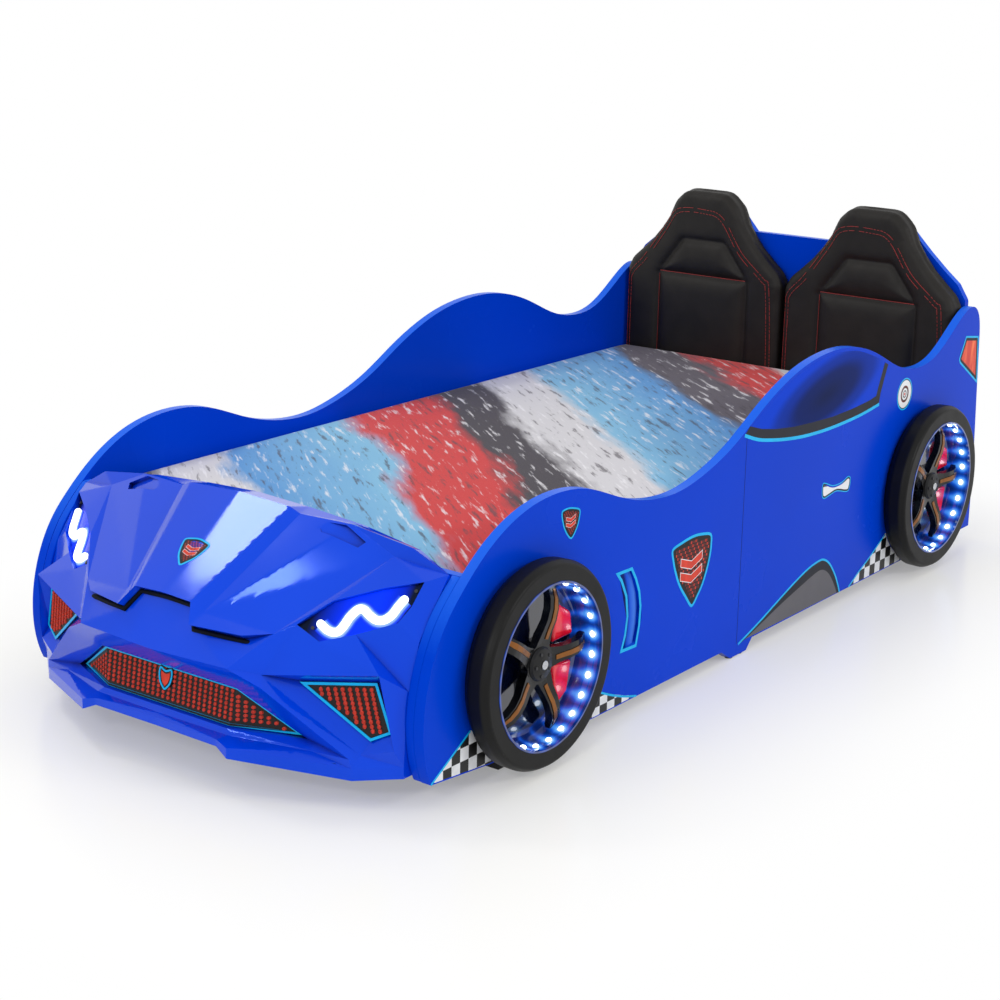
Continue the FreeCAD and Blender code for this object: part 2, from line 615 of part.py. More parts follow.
# Control box for the lights, on the inside of the foot board, with its DC inlet.
control = body("control_box")
control_points = [(190, 96), (310, 96), (310, 176), (190, 176)]
case = pad(control, sketch(control, "XZ_Plane", [rounded(control_points, [8] * 4)], 0.0,
                           "-Sizes.foot_board_y - Sizes.thin_board"), "30", back=True)
doc.recompute()
case_volume = control.Shape.Volume
inlet = sketch(control, "XY_Plane", [[Part.Circle(Vec(250, -818, 0), Vec(0, 0, 1), 4.5)]], 96.0)
pocket(control, inlet, "9", back=True)
doc.recompute()
assert control.Shape.Volume < case_volume - 300.0, "inlet did not cut"

# ---------------------------------------------------------------- mattress
mattress = body("mattress")
soft = val("mattress_round")


def mattress_section(draw):
    """Outline across the width, drawn in by a given amount on every side."""
    half = HALF - val("mattress_side_gap") - draw
    low = val("mattress_base") + draw * 0.6
    top = val("mattress_base") + val("mattress_side") - draw
    crown = top + val("mattress_crown")
    corners = ((-half + 14, low), (half - 14, low), (half, low + 14), (half, top - soft),
               (half - soft, top), (-half + soft, top), (-half, top - soft), (-half, low + 14))
    middles = ((half - 4.1, low + 4.1), (half + 2.5, (low + top - 16) / 2), (half - 8.8, top - 8.8),
               (0, crown), (-half + 8.8, top - 8.8), (-half - 2.5, (low + top - 16) / 2),
               (-half + 4.1, low + 4.1))
    edges = [Part.LineSegment(v2(corners[0]), v2(corners[1]))]
    for i, middle_point in enumerate(middles, start=1):
        edges.append(Part.Arc(v2(corners[i]), v2(middle_point), v2(corners[(i + 1) % 8])))
    return edges


sections = []
for draw, place_y in ((13.0, MATTRESS_FRONT), (4.0, MATTRESS_FRONT + " + 6"), (0.0, MATTRESS_FRONT + " + 24"),
                      (0.0, MATTRESS_BACK + " - 24"), (4.0, MATTRESS_BACK + " - 6"), (13.0, MATTRESS_BACK)):
    sections.append(sketch(mattress, "XZ_Plane", [mattress_section(draw)], 0.0, "-(%s)" % place_y))
long_form = mattress.newObject("PartDesign::AdditiveLoft", "mattress_form")
long_form.Profile = sections[0]
long_form.Sections = sections[1:]
long_form.Ruled = True

# ---------------------------------------------------------------- seat cushions
CUSHION = ((0.0, 788.0), (60.0, 786.0), (92.0, 757.0), (112.0, 712.0), (130.0, 686.0), (153.0, 658.0),
           (184.0, 628.0), (214.0, 602.0), (228.2, 574.0), (228.2, 262.0))
CUSHION_RADII = (0, 26, 40, 40, 0, 0, 60, 30, 34, 20)
cushion_half = [(x * SPREAD, z) for x, z in CUSHION[1:]]
full = [(-x, z) for x, z in reversed(cushion_half)] + cushion_half
full_radii = list(reversed(CUSHION_RADII[1:])) + list(CUSHION_RADII[1:])


def scaled(points, share, centre):
    return [(centre[0] + (x - centre[0]) * share, centre[1] + (z - centre[1]) * share) for x, z in points]


# Insert of the cushion: a head pad over a back pad, inside a sewn channel.
HEAD_PAD = ((-126.0, 577.0), (126.0, 577.0), (58.0, 660.0), (-58.0, 660.0))
BACK_PAD = ((-126.0, 300.0), (126.0, 300.0), (126.0, 569.0), (-126.0, 569.0))
RING_OUT = ((-132.0, 294.0), (132.0, 294.0), (132.0, 580.0), (62.0, 666.0), (-62.0, 666.0), (-132.0, 580.0))
for side, sign in (("left", 1), ("right", -1)):
    shift = "%d * %s" % (sign, CUSHION_SHIFT)
    cushion = body("seat_cushion_" + side)
    rear = "-" + CUSHION_BACK
    border = rear + " + Sizes.cushion_thick - 8"
    steps = ((1.0, rear), (1.0, border + " - Sizes.cushion_round"),
             (0.986, border + " - Sizes.cushion_round * 0.4"), (0.94, border))
    rings = [sketch(cushion, "XZ_Plane", [rounded(scaled(full, share, (0.0, 520.0)), full_radii)], 0.0, where)
             for share, where in steps]
    form = cushion.newObject("PartDesign::AdditiveLoft", cushion.Name + "_form")
    form.Profile = rings[0]
    form.Sections = rings[1:]
    form.Ruled = True
    doc.recompute()
    before = cushion.Shape.Volume
    ring = sketch(cushion, "XZ_Plane", [rounded(RING_OUT, [10, 10, 30, 20, 20, 30])], 0.0,
                  border)
    pocket(cushion, ring, "Sizes.channel_depth")
    doc.recompute()
    assert cushion.Shape.Volume < before - 1000.0, "channel did not cut"
    for points, mid in ((HEAD_PAD, (0, 610)), (BACK_PAD, (0, 440))):
        low = sketch(cushion, "XZ_Plane", [rounded(points, [12] * 4)], 0.0,
                     border + " - 1 - Sizes.channel_depth")
        belly = sketch(cushion, "XZ_Plane", [rounded(scaled(points, 0.985, mid), [14] * 4)], 0.0,
                       border + " + 2")
        high = sketch(cushion, "XZ_Plane", [rounded(scaled(points, 0.72, mid), [16] * 4)], 0.0,
                      border + " + 8")
        form = cushion.newObject("PartDesign::AdditiveLoft", cushion.Name + "_pad_form")
        form.Profile = low
        form.Sections = [belly, high]
        form.Ruled = True
    place(cushion, x=shift)
    backing = body("cushion_board_" + side)
    inner = [(x * 0.965, z - 8.0 if z > 300 else z + 12.0) for x, z in full]
    pad(backing, sketch(backing, "XZ_Plane", [rounded(inner, full_radii)], 0.0,
                        rear + " - Sizes.cushion_board - Sizes.fit_gap"), "Sizes.cushion_board")
    place(backing, x=shift)

# ---------------------------------------------------------------- wheels
WHEELS = (("front_left", "wheel_front_y", 1), ("front_right", "wheel_front_y", -1),
          ("rear_left", "wheel_rear_y", 1), ("rear_right", "wheel_rear_y", -1))
tyre = val("tyre_radius")
rim = val("rim_radius")
deep = val("wheel_depth")
TYRE_PROFILE = [(0.3, rim + 0.6), (0.3, tyre - 17.0), (18.0, tyre - 1.0), (deep - 12.0, tyre),
                (deep, tyre - 7.0), (deep, rim + 0.6)]
DISH_PROFILE = [(0.3, 0.0), (0.3, rim), (deep + 1.0, rim), (deep + 1.0, rim - 3.5), (deep - 4.0, rim - 4.5),
                (34.0, rim - 4.5), (8.0, rim - 9.0), (3.3, rim - 14.0), (3.3, 0.0)]
HUB_PROFILE = [(3.6, 0.0), (3.6, 20.0), (17.7, 22.0), (17.7, 0.0)]
PLANE = val("spoke_plane")
THICK_SPOKE = val("spoke_thick")
CAP_PROFILE = [(PLANE + THICK_SPOKE + GAP, 0.0), (PLANE + THICK_SPOKE + GAP, val("hub_radius") - 4.0),
               (PLANE + THICK_SPOKE + 5.0, val("hub_radius") - 7.0), (PLANE + THICK_SPOKE + 9.0, 14.0),
               (PLANE + THICK_SPOKE + 10.0, 0.0)]


SEAT = PLANE + THICK_SPOKE
ARCH = [(SEAT + val("spoke_arch") * rise, r) for r, rise in
        ((36.0, 0.0), (58.0, 0.4), (79.0, 0.9), (99.0, 1.0), (117.0, 0.65), (136.0, -0.4), (150.0, -0.8))]
ABOVE_ARCH = [(SEAT, 0.0)] + ARCH + [(SEAT + val("spoke_arch") + 2.0, 150.0), (SEAT + val("spoke_arch") + 2.0, 0.0)]
BELOW_ARCH = [(PLANE - 1.0, 50.0)] + [(h - 15.0, r) for h, r in ARCH[2:5]] + [(PLANE - 1.0, 132.0)]
INLAY_THICK = 1.5
INLAY_BAND = ARCH[:-1] + [(h + INLAY_THICK, r) for h, r in reversed(ARCH[:-1])]


def wheel_place(item, row, sign):
    if sign < 0:
        item.Placement = FreeCAD.Placement(Vec(0, 0, 0), FreeCAD.Rotation(Vec(0, 0, 1), 180))
    place(item, x="%d * (Sizes.inner_width / 2 + Sizes.board)" % sign, y="Sizes." + row, z="Sizes.wheel_height")


def polar(radius, degrees):
    angle = math.radians(degrees)
    return (radius * math.cos(angle), radius * math.sin(angle))


def star_outline(phase, flip):
    points = []
    radii = []
    reach = val("spoke_radius")
    for k in range(5):
        axis = phase + 72.0 * k
        for radius, swing, soft_r in ((34.0, -33.0, 6.0), (60.0, -13.5, 30.0), (105.0, -7.5, 60.0),
                                      (reach, -5.5, 4.0), (reach, 4.5, 4.0), (105.0, 6.5, 60.0),
                                      (60.0, 13.5, 30.0)):
            points.append(polar(radius, axis + swing))
            radii.append(soft_r)
    return [(y * flip, z) for y, z in points], radii


inlay_band = Part.Face(Part.makePolygon([Vec(h, r, 0) for h, r in INLAY_BAND + INLAY_BAND[:1]]))
inlay_band = inlay_band.revolve(Vec(0, 0, 0), Vec(1, 0, 0), 360)
inlays = []
for name, row, sign in WHEELS:
    ring = body("tyre_" + name)
    revolve(ring, sketch(ring, "XY_Plane", [rounded(TYRE_PROFILE, [0, 4, 14, 12, 7, 0])]))
    wheel_place(ring, row, sign)
    dish = body("wheel_dish_" + name)
    revolve(dish, sketch(dish, "XY_Plane", [chain(DISH_PROFILE + DISH_PROFILE[:1])]))
    wheel_place(dish, row, sign)

    # Light strip: a thin band with square chips on its inner face.
    band_out = rim - 4.5 - GAP
    band = Part.makeCylinder(band_out, 10.0, Vec(36, 0, 0), Vec(1, 0, 0))
    band = band.cut(Part.makeCylinder(band_out - 1.6, 10.0, Vec(36, 0, 0), Vec(1, 0, 0)))
    for k in range(int(val("led_count"))):
        chip = solid_box(38.5, 43.5, -2.5, 2.5, band_out - 3.4, band_out - 1.2)
        chip.rotate(Vec(0, 0, 0), Vec(1, 0, 0), k * 360.0 / val("led_count") + 7.0)
        band = band.fuse(chip)
    strip = formed("led_ring_" + name, band)
    wheel_place(strip, row, sign)

    # The picture shows every spoke star at one phase; the far side is its mirror image.
    flip = sign
    star_points, star_radii = star_outline(val("spoke_phase"), flip)
    star = body("spoke_star_" + name)
    pad(star, sketch(star, "YZ_Plane", [rounded(star_points, star_radii)], 0.0, "Sizes.spoke_plane"),
        "Sizes.spoke_thick + Sizes.spoke_arch")
    for cut in (ABOVE_ARCH, BELOW_ARCH):
        doc.recompute()
        before = star.Shape.Volume
        turn_away(star, sketch(star, "XY_Plane", [chain(cut + cut[:1])]))
        doc.recompute()
        assert star.Shape.Volume < before - 1000.0, "arch did not cut"
    post = sketch(star, "XY_Plane", [rounded(HUB_PROFILE[:2] + [(20.0, 22.0), (20.0, 0.0)], [0, 0, 0, 0])])
    revolve(star, post)
    wheel_place(star, row, sign)
    cap = body("hub_cap_" + name)
    revolve(cap, sketch(cap, "XY_Plane", [chain(CAP_PROFILE + CAP_PROFILE[:1])]))
    wheel_place(cap, row, sign)

    # Two calipers behind the spokes, on the rearward side of the hub.
    blocks = []
    for corners in (((60, 18), (119, 20), (112, 62), (78, 84), (64, 70)),
                    ((60, -24), (118, -30), (107, -84), (80, -100), (66, -66))):
        shape = prism([Vec(3.6, y * flip, z) for y, z in corners], Vec(12.0, 0, 0))
        faces = [e for e in shape.Edges if all(abs(p.x - 15.6) < 1e-6 for p in e.discretize(2))]
        blocks.append(shape.makeChamfer(3.0, faces))
    pair = formed("calipers_" + name, Part.makeCompound(blocks))
    wheel_place(pair, row, sign)

    for k in range(5):
        axis = val("spoke_phase") + 72.0 * k
        strip_points = [polar(44.0, axis - 9.0), polar(105.0, axis - 5.0), polar(132.0, axis - 3.4),
                        polar(132.0, axis - 0.5), polar(105.0, axis + 0.5), polar(44.0, axis + 2.0)]
        inlay = prism([Vec(PLANE, y * flip, z) for y, z in strip_points], Vec(THICK_SPOKE + 16.0, 0, 0))
        inlay = inlay.common(inlay_band).Solids[0]
        turn = FreeCAD.Rotation(Vec(0, 0, 1), 0 if sign > 0 else 180)
        inlay.Placement = FreeCAD.Placement(Vec(sign * OUTER, val(row), val("wheel_height")), turn)
        inlays.append(inlay)
formed("spoke_inlays", Part.makeCompound(inlays))

# ---------------------------------------------------------------- check and write
doc.recompute()
problems = []
for item in doc.Objects:
    if "Invalid" in item.State or "Error" in item.State:
        problems.append(item.Name + " " + str(item.State))
for item in NODES:
    if item.Shape.isNull() or not item.Shape.isValid() or not item.Shape.Solids:
        problems.append(item.Label + " has no valid shape")
assert not problems, problems
assert len(NODES) <= 60, len(NODES)

os.makedirs("parts", exist_ok=True)
for item in NODES:
    item.Shape.exportStep("parts/%s.step" % item.Label)
total = NODES[0].Shape.BoundBox
for item in NODES:
    total.add(item.Shape.BoundBox)
print("pieces", len(NODES))
print("box %.2f %.2f | %.2f %.2f | %.2f %.2f" % (total.XMin, total.XMax, total.YMin, total.YMax,
                                                  total.ZMin, total.ZMax))
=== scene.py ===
"""Looks of the children's car bed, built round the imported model.

Row frame: X is the width, the nose points to -Y, +Z is up, in metres.  Tables are in
millimetres, and side outlines are (Y, Z) points on the outer face of a side panel.
"""
import json
from math import atan2, cos, degrees, hypot, pi, radians, sin, tan

import bmesh
import bpy
import numpy as np
from mathutils import Matrix, Vector
from mathutils.bvhtree import BVHTree
from mathutils.geometry import tessellate_polygon

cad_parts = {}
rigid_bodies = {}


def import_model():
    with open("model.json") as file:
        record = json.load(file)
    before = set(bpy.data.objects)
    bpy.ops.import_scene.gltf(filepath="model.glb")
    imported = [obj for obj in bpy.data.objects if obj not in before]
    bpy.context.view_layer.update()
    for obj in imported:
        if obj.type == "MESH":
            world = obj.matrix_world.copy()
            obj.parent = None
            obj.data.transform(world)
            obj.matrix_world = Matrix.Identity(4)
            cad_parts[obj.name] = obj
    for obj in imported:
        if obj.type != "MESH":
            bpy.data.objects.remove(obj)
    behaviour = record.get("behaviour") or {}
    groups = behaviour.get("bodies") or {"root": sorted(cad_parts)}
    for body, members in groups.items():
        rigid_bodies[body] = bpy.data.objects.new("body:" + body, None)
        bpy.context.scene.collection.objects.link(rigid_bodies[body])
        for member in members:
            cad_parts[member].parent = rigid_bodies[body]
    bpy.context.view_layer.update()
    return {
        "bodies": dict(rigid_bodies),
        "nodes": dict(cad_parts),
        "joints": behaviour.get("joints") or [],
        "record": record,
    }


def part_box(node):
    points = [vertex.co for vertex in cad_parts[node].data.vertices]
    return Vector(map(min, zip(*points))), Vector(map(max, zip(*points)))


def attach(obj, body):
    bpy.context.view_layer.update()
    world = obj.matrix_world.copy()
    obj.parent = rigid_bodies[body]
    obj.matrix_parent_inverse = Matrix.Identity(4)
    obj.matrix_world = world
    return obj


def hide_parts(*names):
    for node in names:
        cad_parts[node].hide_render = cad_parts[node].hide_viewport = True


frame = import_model()
nodes = frame["nodes"]
MM = 0.001
PANEL_X = 477.5
WHEELS = {"front_left": (1, -693.0), "front_right": (-1, -693.0),
          "rear_left": (1, 820.0), "rear_right": (-1, 820.0)}
WHEEL_Z = 199.0
LED_COUNT = 24
LED_RADIUS = 145.0
LED_OUT = 41.0
LED_SIZE = 6.2
LED_RINGS = 6
LED_SIDES = 12
COAT_ROUGHNESS = 0.04


# ---------------------------------------------------------------- materials
def linear(colour):
    """Linear RGBA of a colour in 0 to 255; one that has four parts is linear already."""
    if len(colour) == 4:
        return colour
    out = []
    for c in colour:
        c = c / 255.0
        out.append(c / 12.92 if c <= 0.04045 else ((c + 0.055) / 1.055) ** 2.4)
    return (*out, 1.0)


def shade(colour, factor):
    return tuple(min(1.0, c * factor) for c in colour[:3]) + (1.0,)


class Graph:
    """A node tree, with short ways to add and join its nodes."""

    def __init__(self, tree):
        self.tree = tree

    def node(self, kind, **values):
        made = self.tree.nodes.new("ShaderNode" + kind)
        for key, value in values.items():
            setattr(made, key, value)
        return made

    def put(self, node, socket, value):
        node.inputs[socket].default_value = value

    def link(self, a, b):
        self.tree.links.new(a, b)

    def math(self, kind, a, b=None, c=None):
        made = self.node("Math", operation=kind)
        for socket, value in zip(made.inputs, (a, b, c)):
            if isinstance(value, (int, float)):
                socket.default_value = value
            elif value is not None:
                self.link(value, socket)
        return made.outputs[0]

    def squares(self, a, b):
        """a squared plus b squared."""
        return self.math("ADD", self.math("MULTIPLY", a, a), self.math("MULTIPLY", b, b))


class Look(Graph):
    """A material, with the nodes that most materials here share."""

    def __init__(self, name, colour, roughness=0.5, metallic=0.0, coat=0.0, specular=0.5,
                 tint=None, sheen=0.0):
        self.mat = bpy.data.materials.new(name)
        self.mat.use_nodes = True
        super().__init__(self.mat.node_tree)
        self.bsdf = self.tree.nodes["Principled BSDF"]
        self.colour = linear(colour)
        self.put(self.bsdf, "Base Color", self.colour)
        self.put(self.bsdf, "Roughness", roughness)
        self.put(self.bsdf, "Metallic", metallic)
        self.put(self.bsdf, "Coat Weight", coat)
        self.put(self.bsdf, "Coat Roughness", COAT_ROUGHNESS)
        self.put(self.bsdf, "Specular IOR Level", specular)
        self.put(self.bsdf, "Sheen Weight", sheen)
        if tint:
            self.put(self.bsdf, "Specular Tint", linear(tint))
        self.place = self.node("TexCoord").outputs["Object"]

    def axes(self, vector=None):
        """The three parts of a vector, by default of the place on the object."""
        split = self.node("SeparateXYZ")
        self.link(vector or self.place, split.inputs[0])
        return split.outputs

    def mapped(self, scale=(1, 1, 1), location=(0, 0, 0), rotation=(0, 0, 0)):
        made = self.node("Mapping")
        self.put(made, "Scale", scale)
        self.put(made, "Location", location)
        self.put(made, "Rotation", rotation)
        self.link(self.place, made.inputs["Vector"])
        return made.outputs["Vector"]

    def noise(self, scale, detail=3.0, vector=None, rough=0.5):
        made = self.node("TexNoise")
        self.put(made, "Scale", scale)
        self.put(made, "Detail", detail)
        self.put(made, "Roughness", rough)
        self.link(vector or self.place, made.inputs["Vector"])
        return made.outputs["Fac"]

    def ramp(self, fac, stops, mode="LINEAR"):
        made = self.node("ValToRGB")
        made.color_ramp.interpolation = mode
        elements = made.color_ramp.elements
        while len(elements) < len(stops):
            elements.new(0.5)
        for element, (at, colour) in zip(elements, stops):
            element.position = at
            element.color = linear(colour)
        self.link(fac, made.inputs["Fac"])
        return made.outputs["Color"]

    def mix(self, fac, a, b, blend="MIX"):
        made = self.node("Mix", data_type="RGBA", blend_type=blend)
        for socket, value in ((made.inputs[0], fac), (made.inputs[6], a), (made.inputs[7], b)):
            if isinstance(value, tuple):
                socket.default_value = linear(value)
            elif isinstance(value, float):
                socket.default_value = value
            else:
                self.link(value, socket)
        return made.outputs[2]

    def base(self, socket):
        self.link(socket, self.bsdf.inputs["Base Color"])

    def clouds(self, scale, low, high, detail=3.0):
        """Slow change between two colours over the surface."""
        return self.ramp(self.noise(scale, detail), ((0.3, low), (0.7, high)))

    def shades(self, scale, low, high, detail=3.0):
        """Slow change between two strengths of the look's own colour."""
        return self.clouds(scale, shade(self.colour, low), shade(self.colour, high), detail)

    def vary(self, amount, scale):
        self.base(self.shades(scale, 1 - amount, 1 + amount))
        return self

    def polish(self, low, high, scale=14.0):
        """Roughness between two values, in soft clouds."""
        out = self.math("MULTIPLY_ADD", self.noise(scale, 4.0), high - low, low)
        self.link(out, self.bsdf.inputs["Roughness"])
        return self

    def bump(self, height, strength, distance):
        made = self.node("Bump")
        self.put(made, "Strength", strength)
        self.put(made, "Distance", distance)
        self.link(height, made.inputs["Height"])
        self.link(made.outputs["Normal"], self.bsdf.inputs["Normal"])
        return self

    def glow(self, colour, strength):
        self.put(self.bsdf, "Emission Strength", strength)
        self.link(colour, self.bsdf.inputs["Emission Color"])
        return self


BLUE = (0, 60, 200)
BLUE_NOSE = (0, 62, 212)
CYAN = (10, 175, 232)

board_blue = Look("blue_board", BLUE, 0.3, specular=0.06, tint=(20, 110, 255))
# Painted highlight: faces that look upward are mixed towards a paler blue, as if lit from above.
facing = board_blue.axes(board_blue.node("NewGeometry").outputs["Normal"])
painted_top_highlight = board_blue.ramp(facing["Z"], ((0.4, (0, 0, 0, 1)), (0.85, (1, 1, 1, 1))))
board_blue.base(board_blue.mix(painted_top_highlight, board_blue.shades(2.5, 0.95, 1.05), (30, 98, 228)))
board_blue.polish(0.2, 0.32, 5.0).bump(board_blue.noise(260, 2.0), 0.05, 0.0004)
nose_blue = Look("blue_moulding", BLUE_NOSE, 0.1, specular=0.7, tint=(130, 165, 255))
nose_blue.polish(0.05, 0.13, 6.0).bump(nose_blue.noise(11, 2.0), 0.05, 0.004)
# Painted shade: creases and recesses of the moulding are darkened by their ambient occlusion.
crease_occlusion = nose_blue.node("AmbientOcclusion", samples=8, only_local=True)
nose_blue.put(crease_occlusion, "Distance", 0.022)
painted_crease_shade = nose_blue.ramp(crease_occlusion.outputs["AO"], ((0.3, (60, 68, 100)),
                                                   (0.6, (170, 178, 205)),
                                                   (0.82, (1, 1, 1, 1))))
nose_blue.base(nose_blue.mix(1.0, nose_blue.shades(3.0, 0.94, 1.06), painted_crease_shade, "MULTIPLY"))
cyan_line = Look("cyan_line", CYAN, 0.3, specular=0.15).vary(0.07, 30).polish(0.25, 0.4, 40)
tyre_black = Look("tyre_black", (10, 10, 10), 0.45, specular=0.2)
tyre_black.vary(0.2, 18).polish(0.36, 0.55, 22).bump(tyre_black.noise(900, 3.0), 0.12, 0.0004)
spoke_black = Look("spoke_black", (6, 6, 7), 0.16, specular=0.3)
spoke_black.vary(0.2, 40).polish(0.12, 0.26, 40)
bronze = Look("bronze", (138, 88, 44), 0.3, metallic=0.85, specular=0.4)
bronze.vary(0.14, 60).polish(0.22, 0.42, 90).bump(bronze.noise(700, 2.0), 0.08, 0.0003)
hub_black = Look("hub_black", (18, 18, 19), 0.42, specular=0.25)
hub_black.vary(0.15, 90).polish(0.35, 0.5, 70)
# Near-black navy of the cord under the hood lip: painted shade that stands for the dark recess
# there.
lip_shade_black = Look("lip_shade_black", (2, 6, 20), 0.6, specular=0.1).vary(0.15, 50).polish(0.5, 0.7, 60)
silver = Look("silver", (190, 192, 196), 0.25, metallic=1.0).vary(0.1, 200).polish(0.18, 0.35, 220)
caliper_red = Look("caliper_red", (236, 14, 44), 0.18, coat=0.5, specular=0.4)
caliper_red.vary(0.1, 50).polish(0.1, 0.24, 60).bump(caliper_red.noise(300, 2.0), 0.1, 0.0006)
charcoal = Look("charcoal_print", (26, 29, 40), 0.36, specular=0.12)
charcoal.vary(0.1, 25).polish(0.3, 0.42, 30)
sill_grey = Look("sill_grey", (94, 93, 98), 0.4, specular=0.14)
sill_grey.vary(0.06, 14).polish(0.34, 0.46, 20)
white_print = Look("white_print", (226, 228, 232), 0.35, specular=0.3)
white_print.vary(0.04, 40).polish(0.3, 0.4, 30)
black_print = Look("black_print", (16, 16, 18), 0.35, specular=0.15)
black_print.vary(0.1, 40).polish(0.3, 0.42, 30)
red_print = Look("red_print", (210, 62, 44), 0.33, specular=0.15)
red_print.vary(0.16, 60).polish(0.28, 0.42, 60)
maroon = Look("maroon_print", (104, 36, 38), 0.36, specular=0.15)
maroon.vary(0.12, 60).polish(0.3, 0.42, 60)
# Navy for the line over the panel seam: painted shade where the two panels meet.
seam_shade = Look("seam_shade", (0, 22, 84), 0.5, specular=0.1).vary(0.1, 60).polish(0.45, 0.6, 60)


CELLS_BELOW = 64    # even, and keeps the cell numbers above zero


def chequer_look(name, corner, cell_y, cell_z):
    """Traditional black and white chequers; the cell up and rearward of the corner is white."""
    look = Look(name, (226, 228, 232), 0.35, specular=0.3)
    axes = look.axes()
    numbers = []
    for axis, start, cell in (("Y", corner[0], cell_y), ("Z", corner[1], cell_z)):
        count = look.math("MULTIPLY_ADD", axes[axis], 1 / (cell * MM), CELLS_BELOW - start / cell)
        numbers.append(look.math("FLOOR", count))
    odd = look.math("MODULO", look.math("ADD", *numbers), 2.0)
    pale = look.clouds(40, (214, 216, 220), (232, 234, 238))
    look.base(look.mix(odd, pale, (16, 16, 18)))
    return look.polish(0.3, 0.4, 30)


chequer_front = chequer_look("chequer_front", (-872.6, 66.7), 23.0, 24.4)
chequer_middle = chequer_look("chequer_middle", (-434.0, 25.5), 24.2, 17.0)
chequer_rear = chequer_look("chequer_rear", (530.5, 29.5), 24.5, 24.5)
tail_red = Look("tail_red", (208, 66, 50), 0.25, specular=0.15)
tail_red.base(tail_red.ramp(tail_red.noise(1.0, 2.0, tail_red.mapped((1, 42, 9))),
                            ((0.35, (196, 52, 42)), (0.55, (214, 70, 50)),
                             (0.7, (244, 116, 70)))))
tail_red.polish(0.2, 0.3, 40)
grille_dark = Look("grille_dark", (22, 16, 16), 0.55, specular=0.3)
grille_dark.vary(0.2, 60).polish(0.45, 0.6, 60)
stud_red = Look("stud_red", (196, 60, 44), 0.4, specular=0.2)
stud_red.vary(0.22, 160).polish(0.28, 0.45, 120)
wood = Look("bare_wood", (196, 158, 112), 0.55, specular=0.35)
grain = wood.noise(14, 6.0, wood.mapped((9, 0.7, 9)), 0.65)
wood.base(wood.ramp(grain, ((0.3, (164, 122, 80)), (0.52, (200, 160, 114)),
                            (0.72, (214, 180, 136)))))
wood.polish(0.48, 0.64, 12).bump(grain, 0.15, 0.0006)
board_black = Look("black_board", (26, 26, 27), 0.6, specular=0.3)
board_black.vary(0.15, 20).polish(0.5, 0.66, 20)
zinc = Look("zinc", (168, 170, 174), 0.36, metallic=1.0).vary(0.12, 120).polish(0.28, 0.46, 90)
plastic_dark = Look("dark_plastic", (34, 34, 36), 0.5, specular=0.4)
plastic_dark.vary(0.12, 60).polish(0.42, 0.58, 60).bump(plastic_dark.noise(1400, 2.0), 0.15, 0.0002)
thread_red = Look("thread_red", (150, 40, 38), 0.6, specular=0.3, sheen=0.2)
thread_red.vary(0.2, 900).polish(0.5, 0.7, 500)

leather = Look("black_leather", (25, 22, 19), 0.5, specular=0.26)
cells = leather.node("TexVoronoi", feature="DISTANCE_TO_EDGE")
leather.put(cells, "Scale", 420.0)
leather.link(leather.place, cells.inputs["Vector"])
creases = leather.math("MULTIPLY_ADD", leather.noise(55, 4.0), 0.5, cells.outputs["Distance"])
leather.vary(0.22, 24).polish(0.42, 0.6, 60).bump(creases, 0.32, 0.0008)


def scoop_look():
    """Airbrushed shade on the side glass area: dark in the middle, board blue at the rim."""
    look = Look("scoop_print", BLUE, 0.34, specular=0.05, tint=(20, 110, 255))
    lean = radians(-11.0)
    vector = look.node("Mapping", vector_type="TEXTURE")
    look.put(vector, "Location", (0.0, 0.352, 0.487))
    look.put(vector, "Rotation", (-lean, 0.0, 0.0))
    look.put(vector, "Scale", (50.0, 0.26, 0.082))
    look.link(look.place, vector.inputs["Vector"])
    ball = look.node("TexGradient", gradient_type="SPHERICAL")
    look.link(vector.outputs["Vector"], ball.inputs["Vector"])
    look.base(look.ramp(ball.outputs["Fac"], ((0.0, BLUE), (0.25, (0, 44, 150)),
                                              (0.55, (0, 26, 92)), (1.0, (0, 20, 72))), "EASE"))
    look.polish(0.28, 0.4, 5.0)
    return look


scoop_print = scoop_look()


def vent_look():
    """Printed shade in the slot: navy along its front, pale blue along its rear."""
    look = Look("vent_print", BLUE, 0.32, specular=0.06, tint=(20, 110, 255))
    axes = look.axes()
    y, z = axes["Y"], axes["Z"]
    bow = look.math("SUBTRACT", z, 0.19)
    along = look.math("MULTIPLY_ADD", look.math("MULTIPLY", bow, bow), 2.6, y)
    at = look.math("MULTIPLY_ADD", along, 1 / 0.06, 0.39 / 0.06)
    look.base(look.ramp(at, ((0.1, (0, 22, 92)), (0.42, (0, 30, 110)), (0.55, (24, 84, 214)),
                             (0.8, (76, 132, 236)), (1.0, (30, 90, 220)))))
    return look.polish(0.26, 0.38, 8.0)


vent_print = vent_look()


